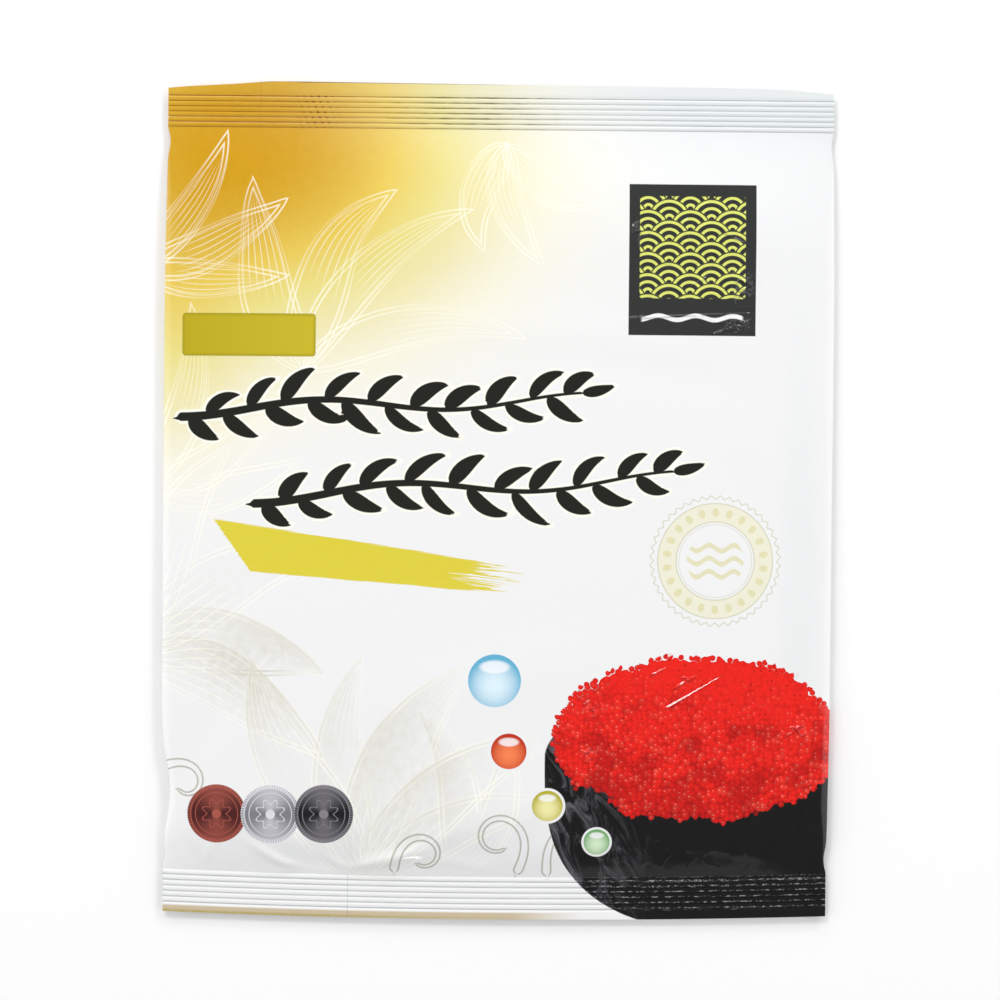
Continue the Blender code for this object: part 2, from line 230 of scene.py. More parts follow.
def grid_points(*axes):
    return np.stack(np.broadcast_arrays(*axes), axis=-1)


def laver_sheet(number, draw, roughen):
    """The upper and lower faces of one sheet in the stack."""
    s, t = np.meshgrid(np.linspace(-1, 1, SHEET_COLUMNS), np.linspace(-1, 1, SHEET_ROWS))
    phase = [draw.uniform(0, 2 * math.pi) for _ in range(4)]
    x = s * SHEET_WIDTH / 2 + SHEET_EDGE_WAVE * s**3 * np.sin(EDGE_TURNS * t + phase[0])
    y = t * SHEET_LENGTH / 2 + SHEET_EDGE_WAVE * t**3 * np.sin(EDGE_TURNS * s + phase[1])
    x += RAGGED * roughen.standard_normal(s.shape) * (np.abs(s) == 1)
    y += RAGGED * roughen.standard_normal(s.shape) * (np.abs(t) == 1)
    turn = draw.uniform(-SHEET_TURN, SHEET_TURN)
    shift_x, shift_y = draw.uniform(-SHEET_SHIFT, SHEET_SHIFT), draw.uniform(-SHEET_SHIFT, SHEET_SHIFT)
    placed_x = x * math.cos(turn) - y * math.sin(turn) + shift_x
    placed_y = x * math.sin(turn) + y * math.cos(turn) + shift_y + STACK_LOW + SHEET_LENGTH / 2
    ripple = np.sin(placed_x / RIPPLE_LENGTH + phase[2]) + np.cos(placed_y / RIPPLE_LENGTH + phase[3])
    low = STACK_BOTTOM + number * SHEET_PITCH + SHEET_RIPPLE * ripple
    return grid_points(placed_x, placed_y, low + SHEET), grid_points(placed_x, placed_y, low)


laver = Finish("pressed_laver", Roughness=0.5, Sheen_Weight=0.1)
place = laver.node("ShaderNodeTexCoord", output="Object")
strands = laver.noise(place, 900.0, detail=6.0, rough=0.7, distortion=1.5)
patches = laver.noise(place, 90.0, detail=4.0)
pores = laver.node("ShaderNodeTexVoronoi", {"Vector": place, "Scale": 420.0}, feature="DISTANCE_TO_EDGE")
thin = patches.math("MULTIPLY_ADD", 2.2, -0.7, clamp=True)
felt = laver.mix(strands, LAVER_DARK, LAVER_GREEN)
laver.set(Base_Color=laver.mix(thin * strands, felt, LAVER_BROWN))
laver.set(Roughness=strands.math("MULTIPLY_ADD", 0.35, 0.3))
laver.set(Normal=laver.bump(strands * 0.7 + pores * 2.0, 0.12))

draw = random.Random(11)
roughen = np.random.default_rng(5)
for number in range(SHEET_COUNT):
    sheet_name = f"nori_sheet_{number + 1:02d}"
    points, faces = shell(*laver_sheet(number, draw, roughen))
    sheet = add_piece(f"laver_{number + 1:02d}", points, faces, laver)
    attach(sheet, "root")
    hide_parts(sheet_name)


# The drying sachet's paper: two faces of porous paper, heat sealed to each other round a crimped margin.
# It lies loose in the free end of the pouch above the nori, and slopes with the back that carries it.
FILM = 0.12
PACK_LENGTH = 278.5
HALF_WIDTH = 112.5
TOP_SEAL = 13.0
BOTTOM_SEAL = 14.5
BODY_LOW = -PACK_LENGTH / 2 + BOTTOM_SEAL
BODY_HIGH = PACK_LENGTH / 2 - TOP_SEAL
SEAL_HEIGHT = 1.5
FOLD_HEIGHT = 2.6
TOP_RISE = 42.0
BOTTOM_RISE = 16.0
FACE_BOTTOM_RISE = 28.0
BACK_FLAT = 88.0
SIDE_BELLY = 0.6
BELLY_OVER = 60.0
NECK_DEPTH = 0.8
NECK_FROM_SEAL = 5.0
NECK_SPREAD = 4.0
NECK_STARTS_OVER = 2.0
DENT_DEPTH = 2.6
DENT_Y = -98.0
DENT_SPREAD = 14.0
SACHET_LENGTH = 50.0
SACHET_WIDTH = 21.0
SACHET_MARGIN = 3.5
SACHET_PAPER = 0.15
SACHET_FILL = 1.05
SACHET_SWELL_OVER = 5.0
SACHET_X = 30.0
SACHET_Y = 109.5
SACHET_CLEAR = 0.3
CRIMP_PITCH = 1.3
CRIMP_HEIGHT = 0.07
PAPER_CRUMPLE = 0.08
SACHET_COLUMNS, SACHET_ROWS = 121, 53
ROOM_COLUMNS, ROOM_ROWS = 60, 26
ROOM_CLEAR = 0.03
PAPER_WHITE = (0.80, 0.80, 0.77)
PAPER_SHADE = (0.62, 0.62, 0.59)


def ease(share):
    """0 to 1, level at both ends."""
    share = np.clip(share, 0.0, 1.0)
    return share * share * (3 - 2 * share)


def hump(distance, spread):
    return np.exp(-((distance / spread) ** 2))


def fullness(y, bottom_rise=BOTTOM_RISE):
    """0 at either seal and 1 where the pouch is as thick as its filling."""
    low = np.clip((y - BODY_LOW) / bottom_rise, 0.0, 1.0)
    high = np.clip((BODY_HIGH - y) / TOP_RISE, 0.0, 1.0)
    return np.sin(np.minimum(low, high) * math.pi / 2)


def edge_x(side, y):
    """Where the pouch's side fold runs: a slight belly, a neck by each seal and one dent on the left."""
    inward = np.clip(np.minimum(y - BODY_LOW, BODY_HIGH - y), 0.0, None)
    belly = SIDE_BELLY * ease(inward / BELLY_OVER)
    neck = NECK_DEPTH * hump(inward - NECK_FROM_SEAL, NECK_SPREAD)
    dent = DENT_DEPTH * hump(y - DENT_Y, DENT_SPREAD) if side < 0 else 0.0
    return side * (HALF_WIDTH + (belly - neck - dent) * ease(inward / NECK_STARTS_OVER))


def round_over(x, y, flat, inset=0.0):
    """1 over the flat middle of the pouch, falling to 0 at its side folds as a quarter round."""
    edge = np.where(x < 0, -edge_x(-1, y), edge_x(1, y)) - inset
    share = np.clip((np.abs(x) - flat) / (edge - flat), 0.0, 1.0)
    return np.sqrt(1 - share**2)


def fold_level(y):
    return SEAL_HEIGHT + (FOLD_HEIGHT - SEAL_HEIGHT) * fullness(y)


def back_depth(y):
    """How far the inside of the back lies under the level of the side folds."""
    return fold_level(y) - FILM - (SEAL_HEIGHT - FILM) * (1 - fullness(y))


def inner_back(x, y):
    return fold_level(y) - back_depth(y) * round_over(x, y, BACK_FLAT, FILM)


def sachet_level(y):
    """The height of the sachet's middle layer, at this distance up from its middle."""
    ends = inner_back(np.full(2, SACHET_X), SACHET_Y + np.array([-0.5, 0.5]) * SACHET_WIDTH)
    middle = inner_back(np.array([SACHET_X]), np.array([SACHET_Y]))[0]
    return middle + SACHET_CLEAR + SACHET_FILL + SACHET_PAPER + y * (ends[1] - ends[0]) / SACHET_WIDTH


def sachet_room(x, y):
    """Half the height of the room in the sachet, at a place measured from its middle."""
    from_side = SACHET_LENGTH / 2 - SACHET_MARGIN - np.abs(x)
    from_end = SACHET_WIDTH / 2 - SACHET_MARGIN - np.abs(y)
    share = np.clip(np.minimum(from_side, from_end) / SACHET_SWELL_OVER, 0.0, 1.0)
    return SACHET_FILL * np.sin(share * math.pi / 2)


def sachet_faces(columns, rows, margin, thickness):
    """Two grids of points over the sachet, this far either side of its room."""
    x = np.linspace(-1, 1, columns)[None, :] * (SACHET_LENGTH / 2 - margin)
    y = np.linspace(-1, 1, rows)[:, None] * (SACHET_WIDTH / 2 - margin)
    room = sachet_room(x, y)
    crimp = CRIMP_HEIGHT * np.sin((x + y) * 2 * math.pi / CRIMP_PITCH) * (room == 0) * (margin == 0)
    crumple = PAPER_CRUMPLE * np.sin(x * 1.1 + 2 * np.sin(y * 0.7)) * ease(room / SACHET_FILL)
    level = sachet_level(y) + crimp
    upper = grid_points(SACHET_X + x, SACHET_Y + y, level + room + thickness + crumple)
    lower = grid_points(SACHET_X + x, SACHET_Y + y, level - room - thickness + crumple)
    return upper, lower


porous = Finish("porous_paper", Roughness=0.75, Sheen_Weight=0.15)
place = porous.node("ShaderNodeTexCoord", output="Object")
fibres = porous.noise(place, 2200.0, detail=5.0, rough=0.75, distortion=2.0)
pricks = porous.node("ShaderNodeTexVoronoi", {"Vector": place, "Scale": 1100.0, "Randomness": 0.1})
porous.set(Base_Color=porous.mix(fibres, PAPER_SHADE, PAPER_WHITE))
porous.set(Roughness=fibres.math("MULTIPLY_ADD", 0.3, 0.6))
porous.set(Normal=porous.bump(fibres * 0.6 + pricks * 0.4, 0.08))

points, faces = shell(*sachet_faces(SACHET_COLUMNS, SACHET_ROWS, 0.0, SACHET_PAPER))
room = sachet_faces(ROOM_COLUMNS, ROOM_ROWS, SACHET_MARGIN, ROOM_CLEAR)
room_points, room_faces = shell(*room, start=len(points))
faces += [tuple(reversed(face)) for face in room_faces]
sachet = add_piece("sachet_crimped", np.concatenate([points, room_points]), faces, porous)
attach(sachet, "root")
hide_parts("sachet_paper")


# The silica gel: loose beads, clear to milky, in one layer in the sachet.
BEAD_RADIUS = 0.85
BEAD_PITCH = 1.75
BEAD_CLEAR = 0.12
BED_LENGTH = 40.0
BED_WIDTH = 10.0
BEAD_SMALLEST = 0.35
BEAD_SHIFT = 0.04
GEL_CLEAR = (0.86, 0.90, 0.93)
GEL_MILKY = (0.93, 0.94, 0.93)

gel = Finish("silica_gel_beads", Roughness=0.12, Transmission_Weight=0.6, IOR=1.45, Coat_Weight=0.2)
place = gel.node("ShaderNodeTexCoord", output="Object")
cloud = gel.noise(place, 700.0, detail=3.0)
gel.set(Base_Color=gel.mix(cloud, GEL_CLEAR, GEL_MILKY))
gel.set(Roughness=cloud.math("MULTIPLY_ADD", 0.2, 0.05))

ball = bmesh.new()
bmesh.ops.create_icosphere(ball, subdivisions=2, radius=1.0)
ball_points = np.array([vert.co[:] for vert in ball.verts])
ball_faces = [tuple(vert.index for vert in face.verts) for face in ball.faces]
ball.free()
points, faces = [], []
for row in range(int(BED_WIDTH / BEAD_PITCH) + 1):
    for column in range(int(BED_LENGTH / BEAD_PITCH) + 1):
        x = (column + 0.5 * (row % 2)) * BEAD_PITCH - BED_LENGTH / 2 + draw.uniform(-BEAD_SHIFT, BEAD_SHIFT)
        y = row * BEAD_PITCH - BED_WIDTH / 2 + draw.uniform(-BEAD_SHIFT, BEAD_SHIFT)
        radius = min(BEAD_RADIUS * draw.uniform(0.88, 1.0), float(sachet_room(x, y)) - BEAD_CLEAR)
        if radius < BEAD_SMALLEST:
            continue
        middle = np.array([SACHET_X + x, SACHET_Y + y, float(sachet_level(y))])
        faces += [tuple(len(points) * len(ball_points) + corner for corner in face) for face in ball_faces]
        points.append(ball_points * radius + middle)
beads = add_piece("gel_beads", np.concatenate(points), faces, gel, crease=80.0)
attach(beads, "root")
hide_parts("silica_gel_beads")


# The pouch: one laminate film wrapped round the stack, its side edges sealed in a fin that is folded flat.
# Ribbed jaws press both ends shut. The print lies under the outer layer of film, so all of it is glossy.
TOP_BOW = 1.9
TOP_PEAK = 0.8
TOP_PEAK_X = -75.0
TOP_PEAK_SPREAD = 12.0
BOTTOM_BOW = 2.0
BOTTOM_BOW_FROM = -70.0
BOTTOM_BOW_OVER = 45.0
TOP_RIB_PITCH = 1.76
BOTTOM_RIB_PITCH = 1.86
RIB_SPACES = 6
RIB_HEIGHT = 0.35
RIB_FLATNESS = 0.6
TOP_LIP = BODY_HIGH + RIB_SPACES * TOP_RIB_PITCH
CENTRING = (TOP_BOW * (1 - (TOP_PEAK_X / HALF_WIDTH) ** 6) + TOP_PEAK - BOTTOM_BOW) / 2
FACE_HEIGHT = 6.3
FACE_FLAT = 70.0
FIN_ROOT = -60.0
FIN_EDGE = -49.5
FIN_SLIT = 0.08
FIN_GAP = 0.12
FIN_STEP = 0.03
FIN_RAMP = 3.0
SEAM_SQUEEZED = 0.3
ROOT_STEP = 0.05
BODY_ROW_STEP = 1.25
CREASE_ROW_STEP = 0.8
CREASED_BAND = 18.0
CREASES_START_OVER = 4.0
SEAL_ROW_STEP = 0.36
FOLD_STEPS = (0.0, 0.04, 0.12, 0.35, 0.8, 1.5, 2.4, 3.5)
FACE_COLUMNS = 175
BACK_STEP = 3.2
LINING_COLUMNS, LINING_ROWS = 60, 64
LINING_CLEAR = 0.22
LINING_FROM_SEAL = 0.05
LINING_LEAST = 0.02
LAYOUT_EDGE = 0.004
FACE_LAYOUT = (0.80, 0.992)
BACK_LAYOUT = (0.18, 0.62)
LINING_LAYOUT = 0.34
LINING_SHARE = 0.96

# Soft folds of the face: middle X and Y, direction in degrees, half length, half width, height
FACE_FOLDS = (
    (-49, -108, 100, 16, 4, 0.55),
    (-75, -110, 160, 22, 4.5, 0.45),
    (-20, -112, 20, 26, 5, 0.50),
    (15, -108, 35, 30, 6, -0.40),
    (70, -106, 150, 26, 5.5, 0.40),
    (96, -95, 95, 24, 5, -0.35),
    (10, 58, 172, 45, 7, 0.30),
    (48, 46, 168, 38, 6, -0.25),
    (-62, 106, 80, 18, 5, 0.40),
    (28, 108, 115, 16, 5, 0.45),
    (92, -6, 130, 30, 7, -0.30),
    (-98, -78, 62, 26, 6, -0.40),
    (84, 88, 60, 28, 7, 0.30),
    (-10, -62, 12, 55, 11, 0.30),
)
BACK_FOLDS = (
    (-86, 60, 75, 30, 5, 0.25),
    (20, 96, 100, 18, 5, 0.30),
    (70, 84, 70, 22, 6, 0.28),
    (84, -40, 110, 34, 6, 0.22),
    (10, -104, 80, 14, 4, 0.28),
    (-86, -98, 110, 18, 5, 0.25),
)


def bowed(x, y):
    """Y moved outward at the two ends, where the cut edges bow, and the whole centred on the origin."""
    share = np.abs(x) / HALF_WIDTH
    top = TOP_BOW * (1 - share**6) + TOP_PEAK * hump(x - TOP_PEAK_X, TOP_PEAK_SPREAD)
    bottom = BOTTOM_BOW * (1 - share**2)
    on_lip = ease((y - TOP_LIP) / (PACK_LENGTH / 2 - TOP_LIP))
    near_bottom = ease((BOTTOM_BOW_FROM - y) / BOTTOM_BOW_OVER)
    return y + top * on_lip - bottom * near_bottom - CENTRING


def rib_count(y):
    """How many rib spaces lie between the body and this place. The plain lip is half a space further."""
    above = (y - BODY_HIGH) / TOP_RIB_PITCH
    below = (BODY_LOW - y) / BOTTOM_RIB_PITCH
    return np.clip(np.maximum(above, below), 0.0, RIB_SPACES + 0.5)


def folds(x, y, rows):
    """How high all of these soft folds come to at each place."""
    total = np.zeros(np.broadcast(x, y).shape)
    for middle_x, middle_y, turn, length, width, height in rows:
        dx, dy = x - middle_x, y - middle_y
        level, steep = math.cos(math.radians(turn)), math.sin(math.radians(turn))
        along, across = dx * level + dy * steep, dy * level - dx * steep
        total += height * np.exp(-((along / length) ** 2) - (across / width) ** 2)
    return total


def seal_puckers(count, seed, face):
    """Narrow creases that run in from both seals and fade out, as folds() takes them."""
    pick = random.Random(seed)
    rows = []
    for _ in range(count):
        end = pick.choice((-1, 1))
        length = pick.uniform(5.0, 15.0)
        from_seal = length * 0.8 + 3.0
        middle_y = BODY_HIGH - from_seal if end > 0 else BODY_LOW + from_seal
        turn = 90 + pick.uniform(-28.0, 28.0)
        middle_x, width = pick.uniform(-105, 105), pick.uniform(1.6, 3.2)
        rows.append((middle_x, middle_y, turn, length, width, face * pick.uniform(0.05, 0.17)))
    return tuple(rows)


# Creases narrower than the soft folds: the V over the bottom seal, and those that cross the face
FACE_CREASES = (
    (-52.5, -121, 150, 5, 1.2, 0.50),
    (-45, -121.5, 20, 7, 1.1, 0.40),
    (-49.7, -119, 92, 5.5, 1, -0.38),
    (-77, -118, 148, 7, 1.4, 0.70),
    (-70, -121.5, 160, 6, 1.3, 0.60),
    (-30, -117, 25, 16, 1.6, 0.30),
    (-34, -118.6, 12, 12, 2.6, 1.15),
    (-61, -120.5, 172, 8, 2.6, -0.30),
    (-12, -120, 168, 10, 2.4, 0.35),
    (64, 70, 20, 30, 1.6, 0.10),
    (70, 96, 155, 20, 1.5, 0.09),
    (52, 84, 60, 14, 1.3, 0.09),
    (28, 126, 150, 14, 2, 0.14),
    (38, -70, 25, 16, 1.4, 0.12),
    (66, -74, 155, 22, 1.5, 0.12),
    (90, -96, 120, 18, 1.5, -0.12),
    (48, -112, 10, 18, 1.4, 0.13),
    (76, -116, 170, 20, 1.5, 0.12),
    (-96, -117, 58, 8, 1.1, 0.34),
    (-103, -118, 120, 6, 1.2, -0.24),
)
FACE_PUCKERS = seal_puckers(34, 3, 1) + seal_puckers(14, 4, -1)
BACK_PUCKERS = seal_puckers(16, 8, 1)


def off_seals(y):
    """0 in either seal and 1 a little way inside it."""
    return ease(np.minimum(y - BODY_LOW, BODY_HIGH - y) / CREASES_START_OVER)


def face_inside(x, y, creased=True):
    relief = folds(x, y, FACE_FOLDS) * fullness(y)
    if creased:
        relief = relief + folds(x, y, FACE_CREASES + FACE_PUCKERS) * off_seals(y)
    return (FACE_HEIGHT - fold_level(y)) * fullness(y, FACE_BOTTOM_RISE) + relief


def back_lift(x, y):
    """The back's own folds, which only rise, because it lies on the ground."""
    return folds(x, y, BACK_FOLDS) * fullness(y) + folds(x, y, BACK_PUCKERS) * off_seals(y)


def seam_opening(thickness, y):
    """A gap between layers of the seam, which closes towards the seals."""
    return thickness * (SEAM_SQUEEZED + (1 - SEAM_SQUEEZED) * fullness(y))


def seam_height(y):
    return 2 * FILM + seam_opening(FIN_SLIT, y) + seam_opening(FIN_GAP, y)


def seam_lift(x, y):
    """How far the back is lifted over the folded seam, ramping down past the seam's free edge."""
    lift = seam_height(y) * fullness(y) * (1 - ease((x - FIN_EDGE - FIN_STEP) / FIN_RAMP))
    return np.where(x < FIN_ROOT, 0.0, lift)


def wall(x, y):
    """The film's thickness, which rounds off to nothing at the outside of the side folds."""
    from_fold = np.minimum(x - edge_x(-1, y), edge_x(1, y) - x)
    share = np.clip(1 - from_fold / FILM, 0.0, 1.0)
    return FILM * np.sqrt(1 - share**2)


def spaced(start, end, step):
    """Places between two others, without them."""
    return np.linspace(start, end, max(int(abs(end - start) / step), 1) + 1)[1:-1]


seal_low = spaced(-PACK_LENGTH / 2, BODY_LOW, SEAL_ROW_STEP)
seal_high = spaced(BODY_HIGH, PACK_LENGTH / 2, SEAL_ROW_STEP)
crease_low, crease_high = BODY_LOW + CREASED_BAND, BODY_HIGH - CREASED_BAND
body_low = spaced(BODY_LOW, crease_low, CREASE_ROW_STEP)
body_middle = spaced(crease_low, crease_high, BODY_ROW_STEP)
body_high = spaced(crease_high, BODY_HIGH, CREASE_ROW_STEP)
body = [BODY_LOW, *body_low, crease_low, *body_middle, crease_high, *body_high, BODY_HIGH]
rows = np.array([-PACK_LENGTH / 2, *seal_low, *body, *seal_high, PACK_LENGTH / 2])
y = rows[:, None]
left, right = edge_x(-1, y), edge_x(1, y)
ribs = RIB_HEIGHT * np.abs(np.sin(rib_count(y) * math.pi)) ** RIB_FLATNESS
steps = np.array(FOLD_STEPS)
crown_share = np.linspace(0, 1, FACE_COLUMNS + 2)[1:-1]
crown = (left + steps[-1]) * (1 - crown_share) + (right - steps[-1]) * crown_share
face_x = np.concatenate([left + steps, crown, right - steps[::-1]], axis=1)
face_z = fold_level(y) + face_inside(face_x, y) * round_over(face_x, y, FACE_FLAT) + wall(face_x, y)


def across(columns):
    return np.broadcast_to(np.asarray(columns, dtype=float), (len(rows), len(columns)))


def back_outside(x):
    lift = back_lift(x, y) * round_over(x, y, BACK_FLAT)
    return fold_level(y) - back_depth(y) * round_over(x, y, BACK_FLAT) - wall(x, y) + lift


seam_drop = seam_height(y) * (1 - fullness(y))
fin_x = across(np.linspace(FIN_EDGE, FIN_ROOT, 7))
fin_z = back_outside(fin_x) - seam_drop
left_x = across([FIN_ROOT - ROOT_STEP, *spaced(FIN_ROOT, -HALF_WIDTH + steps[-1] + 2, BACK_STEP)])
left_x = np.concatenate([left_x, left + steps[:0:-1]], axis=1)
past_fin = [FIN_EDGE + FIN_STEP, FIN_EDGE + FIN_STEP + FIN_RAMP / 3, FIN_EDGE + FIN_STEP + FIN_RAMP / 1.5]
right_x = across([*spaced(HALF_WIDTH - steps[-1] - 2, FIN_EDGE + FIN_RAMP, BACK_STEP), *past_fin[::-1]])
right_x = np.concatenate([right - steps[1:], right_x], axis=1)
over_x = across(np.linspace(FIN_EDGE, FIN_ROOT + FILM, 5))
under_x = over_x[:, ::-1]
fin_outside = back_outside(under_x) - seam_drop
loop_x = [fin_x, left_x, face_x, right_x, over_x, under_x]
loop_z = [
    fin_z,
    back_outside(left_x),
    face_z,
    back_outside(right_x) + seam_lift(right_x, y),
    back_outside(over_x) - seam_drop + seam_height(y),
    fin_outside + 2 * FILM + seam_opening(FIN_SLIT, y),
]
loop_x, loop_z = np.concatenate(loop_x, axis=1), np.concatenate(loop_z, axis=1) + ribs
loop_y = bowed(loop_x, y)
columns = loop_x.shape[1]
points = grid_points(loop_x, loop_y, loop_z).reshape(-1, 3)
faces = grid_faces(len(rows), columns, round_columns=True)
faces.append(tuple(reversed(range(columns))))
faces.append(tuple(range((len(rows) - 1) * columns, len(rows) * columns)))

# The lining: the inside of the film, which leaves room for the nori and the sachet
lining_y = np.linspace(BODY_LOW + LINING_FROM_SEAL, BODY_HIGH - LINING_FROM_SEAL, LINING_ROWS)[:, None]
lining_share = np.sin(np.linspace(-1, 1, LINING_COLUMNS) * math.pi / 2)
lining_left, lining_right = edge_x(-1, lining_y) + FILM, edge_x(1, lining_y) - FILM
lining_x = (lining_left + lining_right) / 2 + (lining_right - lining_left) / 2 * lining_share
inner_round = round_over(lining_x, lining_y, FACE_FLAT, FILM)
ceiling = fold_level(lining_y) + face_inside(lining_x, lining_y, creased=False) * inner_round
ceiling -= LINING_CLEAR * off_seals(lining_y) * inner_round
ground = inner_back(lining_x, lining_y) + seam_lift(lining_x, lining_y)
ground += back_lift(lining_x, lining_y) * round_over(lining_x, lining_y, BACK_FLAT, FILM)
ground = np.minimum(ground, ceiling - LINING_LEAST)
lining_lengthwise = bowed(lining_x, lining_y)
lining_points, lining_faces = shell(
    grid_points(lining_x, lining_lengthwise, ceiling),
    grid_points(lining_x, lining_lengthwise, ground),
    start=len(points),
)
faces += [tuple(reversed(face)) for face in lining_faces]

film = Finish("printed_film", Roughness=0.12, IOR=1.4)
pouch = add_piece("printed_pouch", np.concatenate([points, lining_points]), faces, film, crease=35.0)
bowed_ends = bmesh.new()
bowed_ends.from_mesh(pouch.data)
ends = [face for face in bowed_ends.faces if len(face.verts) > 4]
bmesh.ops.triangulate(bowed_ends, faces=ends, ngon_method="BEAUTY")
bowed_ends.to_mesh(pouch.data)
bowed_ends.free()

# Where each point goes in a flat layout of the film: its face widest, its back beside it, the lining below
first_face = fin_x.shape[1] + left_x.shape[1]
past_face = first_face + face_x.shape[1]
middle_row = len(rows) // 2
round_x, round_z = (np.roll(loop[middle_row], 1 - past_face) for loop in (loop_x, loop_z))
travel = np.concatenate([[0.0], np.cumsum(np.hypot(np.diff(round_x), np.diff(round_z)))])
travel = np.roll(travel, past_face - 1)
on_face = (loop_x - left) / (right - left) * FACE_LAYOUT[0] + LAYOUT_EDGE
round_back = FACE_LAYOUT[0] + 3 * LAYOUT_EDGE + travel / travel.max() * BACK_LAYOUT[0]
up = np.broadcast_to((y + PACK_LENGTH / 2) / PACK_LENGTH, loop_x.shape)
face_map = grid_points(on_face, LAYOUT_EDGE + up * FACE_LAYOUT[1]).reshape(-1, 2)
maps = [grid_points(round_back, 1 - LAYOUT_EDGE - BACK_LAYOUT[1] * (1 - up))]
lining_up = np.linspace(0, 1, LINING_ROWS)[:, None]
lining_along = np.linspace(0, LINING_SHARE, LINING_COLUMNS)
for side in range(2):
    lining_u = FACE_LAYOUT[0] + 3 * LAYOUT_EDGE + (side + lining_along) * BACK_LAYOUT[0] / 2
    maps.append(grid_points(lining_u, LAYOUT_EDGE + lining_up * LINING_LAYOUT))
layout = np.concatenate([part.reshape(-1, 2) for part in maps])
corner_points = np.empty(len(pouch.data.loops), dtype=int)
pouch.data.loops.foreach_get("vertex_index", corner_points)
corner_map = layout[corner_points]
quads = (len(rows) - 1) * columns
quad_column = np.arange(quads) % columns
printed = np.repeat((quad_column >= first_face) & (quad_column < past_face - 1), 4)
corner_map[: 4 * quads][printed] = face_map[corner_points[: 4 * quads][printed]]
layer = pouch.data.uv_layers.new(name="OFBake")
layer.uv.foreach_set("vector", corner_map.astype(np.float32).ravel())

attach(pouch, "root")
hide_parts("film_pouch")


# The print's places. The film was printed flat, so a place on it carries on round the folds to the back.
# It has a gold wash, pale kelp fronds, a title panel of inked weed, and a picture of a filled roll.
INK_REACH = 5.0
INK_FADE_FROM = 1.3
INK_FADE = 6.0
SPINE_STEPS = 48
BRUSH_LIFTS = 7.0
NO_INK = 20.0
NO_STROKE = (0.0, NO_INK, -NO_INK)
OFF_PRINT = (0.0, 400.0, -1.0)
OFF_SEAL = (0.0, 50.0, 0.0)
# Coins and drops: middle X and Y, and radius
BADGES = (
    (-94.0, -105.8, 10.0),
    (-75.8, -105.8, 10.0),
    (-57.8, -105.6, 10.0),
    (-0.6, -60.0, 8.9),
    (4.4, -83.8, 6.0),
    (17.6, -102.2, 5.2),
    (34.4, -114.4, 4.4),
)
BADGE_REACH = 1.5
CURL_WIDTH = 1.5
CURL_GATHER = 1.6
GLINT_WIDTH = 0.75
COINS = 3
# Fans of kelp: where each grows from, its heading and spread in degrees, how many blades it has, and the
# length, half width and bend of a blade
BRUSH_FRONDS = (
    ((-66, 44), 78, 84, 4, 78, 9, -50),
    ((-122, 78), 30, 90, 4, 52, 7, 36),
    ((2, 121), -100, 70, 3, 46, 6.5, 50),
    ((-122, -52), 34, 92, 4, 80, 12, -42),
    ((-44, -128), 84, 96, 5, 80, 11, -36),
    ((-119, 4), 20, 64, 3, 60, 8, 40),
    ((-14, -126), 58, 30, 2, 58, 8, 46),
)
FROND_LAYERS = 4
# Thin curls: where each starts, its heading in degrees, its length and its bend
CURLS = (
    ((8, -124.5), 68, 44, 330),
    ((17.6, -125), 92, 30, -150),
    ((-34, -124), 80, 34, -300),
    ((-112, -90), 20, 26, -250),
)
# Straight creases that catch a lamp: where each starts, its direction in degrees and its length
GLINT_CREASES = (
    ((57.5, -68.9), 31, 21),
    ((61, -61.6), 32, 8),
    ((98, -78.1), 33, 7.5),
    ((53, -57.5), 30, 5),
    ((44, 62.6), 3, 40),
    ((72.5, 57.6), 19, 12),
    ((76.8, 90.6), -24, 9),
)
# Inked weed in place of a title: where each stem starts, its heading, its length and its pairs of leaves
SPRAYS = (
    ((-107, 28), 2, 136, 10),
    ((-82, -1), 3, 142, 10),
)
# Soft patches of gold, of beige on the fronds, of painted grey shade and of crinkled film: how much there
# is, middle X and Y, reach in X and Y, and how steep the patch's edge is
GOLD_PATCHES = (
    (1, -88, 122, 80, 62, 1.3),
    (0.3, -112, 50, 25, 35, 1),
)
BEIGE_PATCHES = (
    (1, -82, -56, 30, 24, 1),
    (0.8, -32, -86, 26, 26, 1),
    (0.5, -100, -92, 14, 14, 1),
)
# Painted shade: grey down the right edge, above the bottom seal and over the top right of the pouch
PAINTED_SHADE_PATCHES = (
    (0.3, 102, -30, 7, 90, 2),
    (0.3, -20, -116, 60, 7, 1),
    (0.95, 90, 138, 90, 20, 1),
    (0.25, 100, 120, 60, 60, 1),
)
CRINKLED_PATCHES = (
    (1, 45.5, 91.5, 3.5, 4.5, 1),
    (1, 82, 73, 4, 6, 1),
    (1, 79, 60.5, 7, 3, 1),
    (0.6, 64, 82, 20, 24, 1),
    (1, 31.5, -69, 4.5, 5, 1),
    (1, 31, -84, 4.5, 3.5, 1),
    (0.9, 64.5, -59.5, 4, 4, 1),
    (1, 102, -76, 4, 5, 1),
    (0.2, 60, -112, 40, 12, 1),
)


def spine(base, heading, length, bend, gather=1.0, sway=0.0):
    """Points along the middle of a leaf, from its heading in degrees to its tip, bent by this much."""
    share = np.linspace(0, 1, SPINE_STEPS)
    turn = np.radians(heading + bend * share**gather + sway * np.sin(share * 3 * math.pi))
    steps = np.stack([np.cos(turn), np.sin(turn)], axis=1)[:-1] * length / (SPINE_STEPS - 1)
    return np.array(base) + np.concatenate([[(0.0, 0.0)], np.cumsum(steps, axis=0)])


def leaf_width(width):
    share = np.linspace(0, 1, SPINE_STEPS)
    return width * np.sin(math.pi * share**0.7) ** 0.8


def stem_width(width):
    return width * (1 - 0.7 * np.linspace(0, 1, SPINE_STEPS))


